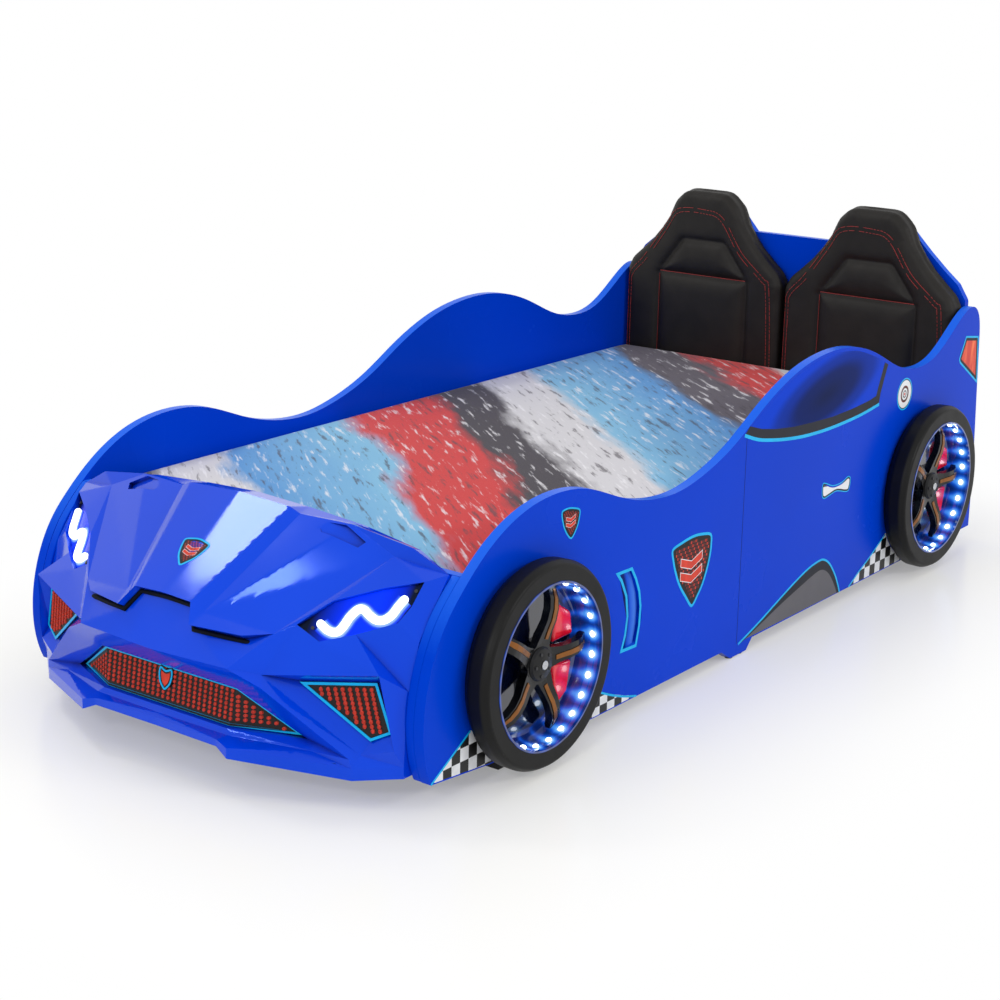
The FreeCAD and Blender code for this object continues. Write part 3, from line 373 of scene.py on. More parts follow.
def dish_look(name, centre_y, phase):
    """Dark blue wheel dish, with painted light from the light strip glowing round its wall."""
    look = Look(name, (6, 14, 40), 0.13, coat=1.0, specular=0.6, metallic=0.25)
    axes = look.axes()
    dy = look.math("SUBTRACT", axes["Y"], centre_y * MM)
    dz = look.math("SUBTRACT", axes["Z"], WHEEL_Z * MM)
    radius = look.math("SQRT", look.squares(dy, dz))
    angle = look.math("ARCTAN2", dz, dy)
    per_radian = LED_COUNT / (2 * pi)
    steps = look.math("MULTIPLY_ADD", angle, per_radian, LED_COUNT + 0.5 - phase * per_radian)
    part = look.math("SUBTRACT", look.math("FRACT", steps), 0.5)
    arc = look.math("MULTIPLY", part, LED_RADIUS * MM / per_radian)
    out = look.math("SUBTRACT", look.math("ABSOLUTE", axes["X"]), PANEL_X * MM)
    # Painted light: a faint glow over the outer dish and soft spots of light by each light, fainter
    # ones nearer the panel.
    lit = look.math("MULTIPLY", look.math("GREATER_THAN", radius, 0.127), 0.06)
    for deep, spread, share in ((LED_OUT * MM, 0.0088, 1.0), (0.022, 0.0055, 0.3),
                                (0.008, 0.0042, 0.2)):
        away = look.math("DIVIDE", look.math("SUBTRACT", out, deep), spread)
        along = look.math("DIVIDE", arc, spread)
        square = look.squares(away, along)
        spot = look.math("EXPONENT", look.math("MULTIPLY", square, -0.5))
        spot = look.math("MULTIPLY", spot, look.math("GREATER_THAN", radius, 0.13))
        lit = look.math("MULTIPLY_ADD", spot, share, lit)
    look.glow(look.ramp(lit, ((0.0, (0, 0, 0, 1)), (0.06, (4, 26, 84)), (0.3, (16, 80, 200)),
                              (0.6, (76, 156, 250)), (1.0, (205, 235, 255)))), 1.0)
    look.vary(0.2, 12)
    return look


LED_PHASE = radians(7.0)
dish_front = dish_look("dish_front", -693.0, LED_PHASE)
dish_rear = dish_look("dish_rear", 820.0, LED_PHASE)
led_white = Look("led_white", (225, 240, 255), 0.3)
led_white.glow(led_white.clouds(300, (205, 230, 255), (255, 255, 255), 1.0), 4.0)
lamp_white = Look("lamp_white", (235, 243, 255), 0.4)
lamp_white.glow(lamp_white.clouds(60, (222, 236, 255), (255, 255, 255), 1.0), 1.6)


def mattress_look():
    """Generic printed cloth: slanting brush strokes in blues, slate, pale grey and red."""
    look = Look("mattress_print", (96, 150, 200), 0.8, specular=0.2, sheen=0.12)
    axes = look.axes()
    x, y = axes["X"], axes["Y"]
    slant = radians(-38.7)
    along = look.math("MULTIPLY_ADD", x, cos(slant), look.math("MULTIPLY", y, sin(slant)))
    across = look.math("MULTIPLY_ADD", y, cos(slant), look.math("MULTIPLY", x, -sin(slant)))

    def brushed(length, width, detail):
        spot = look.node("CombineXYZ")
        look.link(look.math("MULTIPLY", along, length), spot.inputs["X"])
        look.link(look.math("MULTIPLY", across, width), spot.inputs["Y"])
        return look.noise(1.0, detail, spot.outputs["Vector"], 0.6)
    strokes = brushed(2.6, 15.0, 6.0)
    fine = brushed(9.0, 66.0, 5.0)
    way = look.math("MULTIPLY_ADD", look.noise(2.3, 3.0), 0.16, across)
    way = look.math("MULTIPLY_ADD", strokes, 0.15, way)
    at = look.math("MULTIPLY_ADD", way, 0.5, 0.4)
    slate, dark_slate, pale = (84, 78, 88), (54, 48, 56), (204, 202, 206)
    sky, water, red = (78, 142, 202), (120, 178, 212), (198, 44, 44)
    stops = ((0.0, slate), (0.07, slate), (0.09, pale), (0.14, pale), (0.16, sky), (0.29, water),
             (0.31, red), (0.39, red), (0.41, dark_slate), (0.46, dark_slate), (0.48, pale),
             (0.54, pale), (0.56, water), (0.69, sky), (0.71, slate), (0.77, slate), (0.79, red),
             (0.84, red), (0.86, pale), (0.9, pale), (0.92, sky), (1.0, sky))
    out = look.ramp(at, stops)
    light = look.ramp(fine, ((0.57, (0, 0, 0, 1)), (0.66, (1, 1, 1, 1))))
    dark = look.ramp(fine, ((0.36, (1, 1, 1, 1)), (0.43, (0, 0, 0, 1))))
    out = look.mix(look.math("MULTIPLY", light, 0.7), out, (232, 230, 234))
    out = look.mix(look.math("MULTIPLY", dark, 0.7), out, (62, 54, 62))
    look.base(out)
    threads = []
    for direction in ("X", "Y"):
        wave = look.node("TexWave", wave_type="BANDS", bands_direction=direction)
        look.put(wave, "Scale", 420.0)
        look.link(look.place, wave.inputs["Vector"])
        threads.append(wave.outputs["Fac"])
    return look.bump(look.math("ADD", *threads), 0.1, 0.0003)


mattress_print = mattress_look()
border_cloth = Look("border_cloth", (62, 64, 70), 0.85, specular=0.2, sheen=0.2)
border_cloth.vary(0.16, 240).polish(0.78, 0.9, 60).bump(border_cloth.noise(1400, 2.0), 0.25, 0.0004)


def tray_look():
    """Lamp tray: painted blue light in the middle and black at both ends."""
    look = Look("lamp_tray", (0, 10, 60), 0.25, specular=0.3, tint=(120, 160, 255))
    axes = look.axes()
    start, width = 0.254, 0.17
    across = look.math("MULTIPLY_ADD", look.math("ABSOLUTE", axes["X"]), 1 / width, -start / width)
    look.glow(look.ramp(across,
                        ((0.06, (0, 0, 0, 1)), (0.2, (0, 26, 150)), (0.4, (0, 44, 255)),
                         (0.6, (0, 48, 255)), (0.8, (0, 26, 160)), (0.87, (0, 0, 0, 1)))), 1.0)
    black, navy = (8, 8, 10), (0, 20, 120)
    look.base(look.ramp(across, ((0.08, black), (0.2, navy), (0.78, navy), (0.88, black))))
    return look


lamp_tray = tray_look()
# Painted glow round the light guides: four bands, paler and brighter towards the guide.
halo_looks = []
for number, tone in enumerate(((4, 52, 255), (30, 84, 255), (84, 130, 255), (150, 188, 255))):
    halo = Look("lamp_halo_%d" % number, tone, 0.4, specular=0.1)
    halo.put(halo.bsdf, "Base Color", (0, 0, 0, 1))
    halo_looks.append(halo.glow(halo.shades(90, 0.9, 1.05, 2.0), 1.0))


# ---------------------------------------------------------------- mesh helpers
def placed(name, data):
    """A new object in the scene."""
    item = bpy.data.objects.new(name, data)
    bpy.context.scene.collection.objects.link(item)
    return item


def evaluated(item):
    return item.evaluated_get(bpy.context.evaluated_depsgraph_get())


def hit_tree(item):
    """For rays onto an object as its modifiers leave it."""
    return BVHTree.FromObject(item, bpy.context.evaluated_depsgraph_get())


def outward(mesh):
    """Turns all faces of closed shapes outwards."""
    fix = bmesh.new()
    fix.from_mesh(mesh)
    bmesh.ops.recalc_face_normals(fix, faces=fix.faces)
    fix.to_mesh(mesh)
    fix.free()


def rings_joined(rings, sides):
    """Faces of a closed skin over rings of as many points each."""
    faces = []
    for start in range(0, (rings - 1) * sides, sides):
        for k in range(sides):
            a, b = start + k, start + (k + 1) % sides
            faces.append((a, b, b + sides, a + sides))
    last = (rings - 1) * sides
    return faces + [tuple(range(sides))[::-1], tuple(range(last, last + sides))]


def add_mesh(name, verts, faces, looks, body="base", picks=None, smooth=None):
    """A piece from vertices in millimetres in the row frame."""
    mesh = bpy.data.meshes.new(name)
    mesh.from_pydata([tuple(c * MM for c in v) for v in verts], [], faces)
    for look in looks:
        mesh.materials.append(look.mat)
    if picks:
        mesh.polygons.foreach_set("material_index", picks)
    mesh.validate()
    piece = placed(name, mesh)
    outward(mesh)
    if smooth is not None:
        mesh.shade_smooth()
        mesh.set_sharp_from_angle(angle=radians(smooth))
    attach(piece, body)
    return piece


class Soup:
    """Collects closed shapes with a material for each, for one piece."""

    def __init__(self):
        self.verts, self.faces, self.picks, self.looks = [], [], [], []

    def add(self, verts, faces, look):
        if look not in self.looks:
            self.looks.append(look)
        base = len(self.verts)
        self.verts += verts
        self.faces += [tuple(i + base for i in f) for f in faces]
        self.picks += [self.looks.index(look)] * len(faces)

    def slab(self, loops, place, low, high, look):
        """A flat plate: outline and holes in 2-D, place(u, v, height) gives the point."""
        flat = [[Vector((u, v, 0.0)) for u, v in loop] for loop in loops]
        tris = tessellate_polygon(flat)
        points = [p for loop in loops for p in loop]
        count = len(points)
        verts = [place(u, v, low) for u, v in points] + [place(u, v, high) for u, v in points]
        faces = [tuple(t) for t in tris] + [tuple(i + count for i in t) for t in tris]
        start = 0
        for loop in loops:
            size = len(loop)
            for i in range(size):
                a, b = start + i, start + (i + 1) % size
                faces.append((a, b, b + count, a + count))
            start += size
        self.add(verts, faces, look)

    def make(self, name, slot, body="base", smooth=30):
        return add_mesh(name, self.verts, self.faces, self.looks, body, self.picks, smooth)


class Foils(Soup):
    """Prints on one face, each a thin foil; place puts their 2-D points on it."""

    def __init__(self, place):
        super().__init__()
        self.place = place

    def lay(self, loops, look, rise=0.0):
        self.slab(loops, self.place, LIFT, FOIL + rise, look)


def tube(soup, line, radius, look, sides=10, ends=3):
    """A round rod along a line of 3-D points, with rounded ends."""
    spots = [Vector(p) for p in line]
    runs = [(b - a).normalized() for a, b in zip(spots, spots[1:])]
    aims = [runs[0]] + [(a + b).normalized() for a, b in zip(runs, runs[1:])] + [runs[-1]]
    rings = []
    for k in range(ends):
        angle = pi / 2 * (k + 0.3) / ends
        rings.append((spots[0] - aims[0] * radius * cos(angle), aims[0], radius * sin(angle)))
    rings += [(spot, aim, radius) for spot, aim in zip(spots, aims)]
    for k in reversed(range(ends)):
        angle = pi / 2 * (k + 0.3) / ends
        rings.append((spots[-1] + aims[-1] * radius * cos(angle), aims[-1], radius * sin(angle)))
    guide = Vector((0, 0, 1)) if abs(aims[0].z) < 0.8 else Vector((1, 0, 0))
    verts = []
    for spot, aim, size in rings:
        u = (guide - aim * guide.dot(aim)).normalized()
        guide = u
        v = aim.cross(u)
        for k in range(sides):
            angle = 2 * pi * k / sides
            verts.append(tuple(spot + (u * cos(angle) + v * sin(angle)) * size))
    soup.add(verts, rings_joined(len(rings), sides), look)


def curve_through(points, steps=6, closed=False):
    """Catmull-Rom line through 2-D or 3-D points."""
    count = len(points)
    out = []
    spans = count if closed else count - 1
    for i in range(spans):
        if closed:
            p = [Vector(points[(i + k) % count]) for k in (-1, 0, 1, 2)]
        else:
            p = [Vector(points[min(max(i + k, 0), count - 1)]) for k in (-1, 0, 1, 2)]
        for s in range(steps):
            t = s / steps
            straight = 2 * p[1] + (p[2] - p[0]) * t
            bent = (2 * p[0] - 5 * p[1] + 4 * p[2] - p[3]) * t * t
            eased = (3 * p[1] - p[0] - 3 * p[2] + p[3]) * t ** 3
            out.append(tuple(0.5 * (straight + bent + eased)))
    if not closed:
        out.append(tuple(points[-1]))
    return out


def offset(points, amount, closed=True):
    """Points moved sideways by amount, with mitred corners; positive is to the left."""
    count = len(points)
    out = []
    for i in range(count):
        here = Vector(points[i])
        before = Vector(points[i - 1]) if closed or i else None
        after = Vector(points[(i + 1) % count]) if closed or i < count - 1 else None
        sides = []
        for a, b in ((before, here), (here, after)):
            if a is not None and b is not None and (b - a).length > 1e-6:
                run = (b - a).normalized()
                sides.append(Vector((-run.y, run.x)))
        normal = (sides[0] + sides[-1])
        if normal.length < 1e-6:
            normal = sides[0].copy()
        normal.normalize()
        reach = amount / max(0.35, normal.dot(sides[0]))
        out.append((here.x + normal.x * reach, here.y + normal.y * reach))
    return out


def area_of(points):
    return 0.5 * sum(a[0] * b[1] - b[0] * a[1] for a, b in zip(points, points[1:] + points[:1]))


def inset(points, amount):
    """A closed outline moved inwards, or outwards where the amount is negative."""
    return offset(points, amount if area_of(points) > 0 else -amount)


def ring_loops(points, width):
    """Outline and hole of an even band on the inner side of a closed outline."""
    return [list(points), inset(points, width)[::-1]]


def ribbon(points, width):
    """Closed outline of an even band to one side of an open line."""
    return [list(points) + offset(points, width, closed=False)[::-1]]


def circle(cx, cy, radius, count=48, start=0.0, end=360.0):
    """Points of a circle, or of an arc with both of its ends."""
    steps = count if abs(end - start) >= 359.9 else count + 1
    turns = [radians(start + (end - start) * i / count) for i in range(steps)]
    return [(cx + radius * cos(turn), cy + radius * sin(turn)) for turn in turns]


def give(names, look):
    for name in names:
        mesh = nodes[name].data
        mesh.materials.clear()
        mesh.materials.append(look.mat)


def round_edges(name, width, segments=3, least=28.0, weigh=None):
    """Bevels the sharp edges of a CAD node with modifiers; weigh(a, b) scales the width."""
    item = nodes[name]
    mesh = item.data
    key = [tuple(round(c, 6) for c in v.co) for v in mesh.vertices]
    meets = {}
    for face in mesh.polygons:
        for a, b in face.edge_keys:
            meets.setdefault(frozenset((key[a], key[b])), []).append(face.normal.copy())
    weights = []
    for edge in mesh.edges:
        a, b = (key[i] for i in edge.vertices)
        normals = meets.get(frozenset((a, b)), [])
        sharp = len(normals) == 2 and normals[0].angle(normals[1], 0.0) > radians(least)
        weights.append((weigh(Vector(a), Vector(b)) if weigh else 1.0) if sharp else 0.0)
    attribute = mesh.attributes.new("bevel_weight_edge", "FLOAT", "EDGE")
    attribute.data.foreach_set("value", weights)
    mesh.shade_smooth()
    weld = item.modifiers.new("weld", "WELD")
    weld.merge_threshold = 2e-6
    bevel = item.modifiers.new("edges", "BEVEL")
    bevel.width = width * MM
    bevel.segments = segments
    bevel.limit_method = "WEIGHT"
    bevel.use_clamp_overlap = True
    item.modifiers.new("normals", "WEIGHTED_NORMAL")


# ---------------------------------------------------------------- looks of the CAD nodes
PANELS = ["side_panel_%s_%s" % (s, e) for s in ("left", "right") for e in ("front", "rear")]
give(PANELS + ["front_trim_left", "front_trim_right", "foot_board", "headboard"], board_blue)
give(["nose_shell"], nose_blue)
give(["side_rail_left", "side_rail_right", "centre_beam", "slats", "seam_plates"], wood)
give(["cushion_board_left", "cushion_board_right", "legs"], board_black)
give(["corner_brackets"], zinc)
give(["glides", "control_box", "lamp_screws"], plastic_dark)
give(["grille_left", "grille_right", "grille_centre"], grille_dark)
for wheel, (sign, wheel_y) in WHEELS.items():
    give(["tyre_" + wheel], tyre_black)
    give(["wheel_dish_" + wheel], dish_front if wheel_y < 0 else dish_rear)
    give(["hub_cap_" + wheel], hub_black)
    give(["calipers_" + wheel], caliper_red)


def seam_light(a, b):
    return 0.28 if abs(a.y - 0.03) < 0.001 and abs(b.y - 0.03) < 0.001 else 1.0


for panel in PANELS:
    round_edges(panel, 3.2, 3, 35.0, seam_light)
for trim in ("front_trim_left", "front_trim_right", "foot_board", "headboard"):
    round_edges(trim, 2.0, 2, 35.0)
for wheel in WHEELS:
    round_edges("calipers_" + wheel, 2.2, 3, 20.0)


def fine_piece(name, mesh, body, node):
    """A mesh as a piece with one subdivision, in the place of a CAD node."""
    piece = placed(name, mesh)
    fine = piece.modifiers.new("fine", "SUBSURF")
    fine.levels = fine.render_levels = 1
    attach(piece, body)
    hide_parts(node)
    return piece


# ---------------------------------------------------------------- nose moulding
def keep_points(bm, sharp, passes, amount):
    """Relax a triangle mesh between its sharp lines, which stay where they are."""
    bm.verts.ensure_lookup_table()
    near = [[e.other_vert(v).index for e in v.link_edges] for v in bm.verts]
    free = [not any(e in sharp for e in v.link_edges) for v in bm.verts]
    place = [v.co.copy() for v in bm.verts]
    for _ in range(passes):
        fresh = list(place)
        for i, links in enumerate(near):
            if free[i]:
                mid = Vector((0, 0, 0))
                for k in links:
                    mid += place[k]
                fresh[i] = place[i].lerp(mid / len(links), amount)
        place = fresh
    for v, spot in zip(bm.verts, place):
        v.co = spot


def nose_skin():
    """Moulded skin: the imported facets, cut fine and relaxed between their creases."""
    bm = bmesh.new()
    bm.from_mesh(nodes["nose_shell"].data)
    bmesh.ops.remove_doubles(bm, verts=bm.verts, dist=2e-5)
    bmesh.ops.dissolve_limit(bm, angle_limit=radians(1.0), verts=bm.verts, edges=bm.edges)
    bmesh.ops.triangulate(bm, faces=bm.faces)
    limit = 0.016
    layer = bm.edges.layers.float.new("crease_edge")
    for edge in bm.edges:
        angle = degrees(edge.calc_face_angle(0.0)) if len(edge.link_faces) == 2 else 90.0
        inner = all(v.co.y > -0.856 for v in edge.verts)
        if angle > 11.0 or (inner and angle > 5.0):
            edge[layer] = 1.0 if inner else min(1.0, 0.5 + angle / 60.0)
    for _ in range(5):
        long = [e for e in bm.edges if e.calc_length() > limit]
        bmesh.ops.subdivide_edges(bm, edges=long, cuts=1, use_grid_fill=False)
        bmesh.ops.triangulate(bm, faces=[f for f in bm.faces if len(f.verts) > 3])
    sharp = {e for e in bm.edges if e[layer] > 0.0}
    for face in bm.faces:
        face.smooth = True
    for edge in sharp:
        edge.smooth = edge[layer] < 0.88
    keep_points(bm, sharp, 6, 0.5)
    mesh = bpy.data.meshes.new("nose_skin")
    bm.to_mesh(mesh)
    bm.free()
    mesh.materials.append(nose_blue.mat)
    return fine_piece("nose_skin", mesh, "base", "nose_shell")


skin_piece = nose_skin()


# ---------------------------------------------------------------- soft pieces
def rounded(points, radii, steps=6):
    """Closed outline with its corners rounded."""
    out = []
    count = len(points)
    for i in range(count):
        here = Vector(points[i])
        if radii[i] <= 0:
            out.append(tuple(here))
            continue
        u = Vector(points[i - 1]) - here
        v = Vector(points[(i + 1) % count]) - here
        half = u.angle(v) / 2
        reach = min(radii[i] / tan(half), u.length * 0.48, v.length * 0.48)
        radius = reach * tan(half)
        u.normalize()
        v.normalize()
        start = here + u * reach
        stop = here + v * reach
        centre = here + (u + v).normalized() * (radius / sin(half))
        first = atan2(start.y - centre.y, start.x - centre.x)
        turn = atan2(stop.y - centre.y, stop.x - centre.x) - first
        turn = (turn + pi) % (2 * pi) - pi
        for k in range(steps + 1):
            angle = first + turn * k / steps
            out.append((centre.x + radius * cos(angle), centre.y + radius * sin(angle)))
    return out


def distance_to(points, outline, closed=True):
    """Distance of many 2-D points to an outline."""
    ends = np.array(outline + outline[:1] if closed else outline)
    best = np.full(len(points), 1e9)
    for a, b in zip(ends[:-1], ends[1:]):
        run = b - a
        share = np.clip(((points - a) @ run) / max(run @ run, 1e-9), 0, 1)
        gap = points - (a + share[:, None] * run)
        best = np.minimum(best, np.hypot(gap[:, 0], gap[:, 1]))
    return best


def within(points, outline):
    ends = np.array(outline + outline[:1])
    odd = np.zeros(len(points), bool)
    for a, b in zip(ends[:-1], ends[1:]):
        crosses = (a[1] > points[:, 1]) != (b[1] > points[:, 1])
        if a[1] != b[1]:
            at = a[0] + (points[:, 1] - a[1]) * (b[0] - a[0]) / (b[1] - a[1])
            odd ^= crosses & (points[:, 0] < at)
    return odd


def read_points(mesh):
    flat = np.empty(len(mesh.vertices) * 3, np.float32)
    mesh.vertices.foreach_get("co", flat)
    return flat.reshape(-1, 3).astype(float) / MM


def write_points(mesh, points):
    mesh.vertices.foreach_set("co", (points * MM).astype(np.float32).ravel())
    mesh.update()


def puffed(mesh, held, pressure, cap):
    """Cloth pressure from inside for twenty frames, with no point moved further than the cap."""
    before = read_points(mesh)
    item = placed(mesh.name + "_cloth", mesh)
    group = item.vertex_groups.new(name="held")
    group.add([int(i) for i in np.flatnonzero(held(before))], 1.0, "REPLACE")
    cloth = item.modifiers.new("cloth", "CLOTH")
    cloth.settings.quality = 5
    cloth.settings.mass = 0.3
    cloth.settings.tension_stiffness = 15.0
    cloth.settings.use_pressure = True
    cloth.settings.uniform_pressure_force = pressure
    cloth.settings.vertex_group_mass = "held"
    cloth.settings.effector_weights.gravity = 0.0
    cloth.point_cache.frame_start = 1
    cloth.point_cache.frame_end = 20
    for frame in range(1, 21):
        bpy.context.scene.frame_set(frame)
    after = read_points(evaluated(item).to_mesh())
    item.to_mesh_clear()
    bpy.context.scene.frame_set(1)
    bpy.data.objects.remove(item)
    move = after - before
    length = np.maximum(np.linalg.norm(move, axis=1), 1e-9)
    write_points(mesh, before + move * np.minimum(1.0, cap / length)[:, None])


def remeshed(name, verts, faces, voxel):
    """Even quads over a closed rough form."""
    rough = bpy.data.meshes.new(name + "_rough")
    rough.from_pydata([tuple(c * MM for c in v) for v in verts], [], faces)
    outward(rough)
    item = placed(name + "_rough", rough)
    even = item.modifiers.new("even", "REMESH")
    even.mode = "VOXEL"
    even.voxel_size = voxel * MM
    made = bpy.data.meshes.new_from_object(evaluated(item))
    made.name = name
    bpy.data.objects.remove(item)
    bpy.data.meshes.remove(rough)
    return made


CUSHION = ((60.0, 786.0), (92.0, 757.0), (112.0, 712.0), (130.0, 686.0), (153.0, 658.0),
           (184.0, 628.0), (214.0, 602.0), (228.2, 574.0), (228.2, 262.0))
CUSHION_RADII = (44, 60, 50, 0, 0, 80, 50, 40, 20)
HEAD_PAD = ((-127.0, 573.0), (127.0, 573.0), (60.0, 661.0), (-60.0, 661.0))
BACK_PAD = ((-127.0, 298.0), (127.0, 298.0), (127.0, 573.0), (-127.0, 573.0))
CUSHION_X = 229.0
CUSHION_REAR = 1034.7
CUSHION_FRONT = 993.0
EDGE_ROLL = 19.0


def make_cushion(side, sign):
    full = [(-x, z) for x, z in CUSHION[::-1]] + list(CUSHION)
    drawn = inset(rounded(full, CUSHION_RADII[::-1] + CUSHION_RADII), 1.0)
    count = len(drawn)
    verts = [(x, CUSHION_REAR, z) for x, z in drawn] + [(x, CUSHION_FRONT, z) for x, z in drawn]
    tris = tessellate_polygon([[Vector((x, z, 0)) for x, z in drawn]])
    faces = [tuple(t) for t in tris] + [tuple(i + count for i in t) for t in tris]
    faces += [(i, (i + 1) % count, (i + 1) % count + count, i + count) for i in range(count)]
    mesh = remeshed("seat_cover_" + side, verts, faces, 5.0)
    puffed(mesh, lambda spots: spots[:, 1] > CUSHION_REAR - 14.0, 4.0, 3.0)
    points = read_points(mesh)
    plan = points[:, [0, 2]]
    edge = distance_to(plan, drawn)
    share = (CUSHION_REAR - points[:, 1]) / (CUSHION_REAR - CUSHION_FRONT)
    level = np.zeros(len(points))
    near = np.full(len(points), 1e9)
    for pad in (HEAD_PAD, BACK_PAD):
        rim = rounded(list(pad), [8, 8, 14, 14] if pad is HEAD_PAD else [10, 10, 6, 6])
        gap = distance_to(plan, rim)
        inside_pad = within(plan, rim)
        level = np.where(inside_pad, -8.0 + 15.0 * (1 - np.exp(-gap / 13.0)), level)
        near = np.where(inside_pad, -1.0, np.where(near < 0, near, np.minimum(near, gap)))
    level = np.where(near >= 0, 1.5 - 9.5 * np.exp(-np.maximum(near, 0) / 7.5), level)
    rolled = np.clip(EDGE_ROLL - edge, 0, EDGE_ROLL)
    drop = EDGE_ROLL - np.sqrt(np.maximum(0.0, EDGE_ROLL ** 2 - rolled ** 2))
    depth = (CUSHION_REAR - CUSHION_FRONT) + level - drop
    points[:, 1] = CUSHION_REAR - share * depth
    points[:, 0] += sign * CUSHION_X
    write_points(mesh, points)
    mesh.materials.clear()
    mesh.materials.append(leather.mat)
    mesh.shade_smooth()
    piece = fine_piece("seat_cover_" + side, mesh, "base", "seat_cushion_" + side)
    return piece


covers = {side: make_cushion(side, sign) for side, sign in (("left", 1), ("right", -1))}


def box_faces():
    return [(0, 1, 2, 3), (4, 7, 6, 5), (0, 4, 5, 1), (1, 5, 6, 2), (2, 6, 7, 3), (3, 7, 4, 0)]


CROWN = 26.0        # how far the printed top reaches down the mattress


def make_mattress():
    low, high = (Vector(c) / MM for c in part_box("mattress"))
    top = high.z - 9.0
    corners = [(x, y, z) for z in (low.z, top)
               for x, y in ((low.x, low.y), (high.x, low.y), (high.x, high.y), (low.x, high.y))]
    mesh = remeshed("mattress_cover", corners, box_faces(), 12.0)
    puffed(mesh, lambda spots: spots[:, 2] < low.z + 12.0, 4.0, 4.0)
    points = read_points(mesh)
    centre = np.array(((low.x + high.x) / 2, (low.y + high.y) / 2, (low.z + top) / 2))
    half = np.array(((high.x - low.x) / 2 - 0.6, (high.y - low.y) / 2 - 0.6, (top - low.z) / 2))
    away = points - centre
    scale = half / np.abs(away).max(axis=0)
    away = away * scale
    radius = 24.0
    inner = np.clip(away, -(half - radius), half - radius)
    arm = away - inner
    length = np.maximum(np.linalg.norm(arm, axis=1), 1e-6)
    away = inner + arm * (radius / length)[:, None]
    u, v = away[:, 0] / half[0], away[:, 1] / half[1]
    lift = np.clip((away[:, 2] + half[2]) / (2 * half[2]), 0, 1) ** 3
    away[:, 2] += lift * 8.5 * (1 - u ** 4) * (1 - v ** 6)
    write_points(mesh, away + centre)
    mesh.materials.clear()
    mesh.materials.append(mattress_print.mat)
    mesh.materials.append(border_cloth.mat)
    border = [int(p.center.z / MM < top - CROWN) for p in mesh.polygons]
    mesh.polygons.foreach_set("material_index", border)
    mesh.shade_smooth()
    fine_piece("mattress_cover", mesh, "mattress", "mattress")

    piping = Soup()
    for z in (low.z + 18.0, top - CROWN):
        left, right, front, rear = low.x + 1.6, high.x - 1.6, low.y + 1.6, high.y - 1.6
        edge = [(left, front), (right, front), (right, rear), (left, rear)]
        loop = rounded(edge, [26.0] * 4, 8)
        tube(piping, [(x, y, z) for x, y in loop + loop[:1]], 2.2, border_cloth, 8, 1)
    piping.make("mattress_piping", "mattress_cloth", "mattress", 50)


make_mattress()


# ---------------------------------------------------------------- prints on the side panels
def on_side(sign):
    return lambda y, z, height: (sign * (PANEL_X + height), y, z)


SHIELD = [(-230, 288), (-197, 296), (-156, 300), (-121, 297), (-89, 288), (-85, 264), (-89, 240),
          (-98, 216), (-111, 191), (-128, 171), (-151, 153), (-176, 178), (-200, 207), (-216, 236),
          (-226, 262)]
SMALL_SHIELD = [(-596, 443), (-580, 447), (-560, 444), (-540, 436), (-541, 419), (-548, 403),
                (-565, 387), (-583, 403), (-593, 423)]
VENT_OUT = [(-418, 287), (-366, 286), (-350, 262), (-337, 234), (-331, 203), (-333, 167),
            (-343, 126), (-396, 128), (-384, 158), (-378, 194), (-384, 234), (-401, 267)]
BAND_UP = [(40, 478), (86, 464), (144, 453), (218, 444), (293, 439), (386, 435), (480, 437),
           (545, 441), (578, 446), (582, 458), (593, 482), (604, 505), (609, 515)]
BAND_LOW = [(22, 464), (74, 447), (132, 435), (205, 424), (280, 417), (372, 414), (467, 416),
            (532, 420), (593, 426), (598, 449), (608, 471), (620, 497), (626, 508)]
CYAN_UP = [(22, 466), (74, 448), (132, 436), (205, 425), (280, 418), (372, 415), (467, 417),
           (532, 421), (594, 428)]
CREST = [(45, 475), (73, 489), (148, 524), (228, 551), (310, 566), (395, 570), (485, 559),
         (582, 528), (606, 518)]
HANDLE = [(357, 294), (372, 293), (406, 281), (445, 281), (470, 288), (483, 281), (481, 262),
          (469, 253), (423, 264), (396, 262), (367, 259), (356, 270)]
SILL_OUT = [(36, 27), (118, 53), (185, 77), (257, 102), (316, 119), (362, 125), (386, 122),
            (412, 107), (440, 76), (458, 47), (467, 28)]
SILL_IN = [(66, 28.5), (137, 48), (208, 67), (282, 84), (342, 97), (373, 100), (398, 91), (420, 73),
           (440, 48), (452, 28.5)]
TAIL = [(1020, 512), (1089, 502), (1101.5, 386), (996, 451), (990, 461)]
ARCH = [(888, 352), (921, 353), (944, 353), (969, 347), (995, 333), (1015, 310), (1030, 278),
        (1037, 240), (1034, 198), (1022, 160), (1004, 130)]
LIFT = 0.05
FOIL = 0.22


def inside(point, polygon):
    x, y = point
    odd = False
    for (x0, y0), (x1, y1) in zip(polygon, polygon[1:] + polygon[:1]):
        if (y0 > y) != (y1 > y) and x < (x1 - x0) * (y - y0) / (y1 - y0) + x0:
            odd = not odd
    return odd


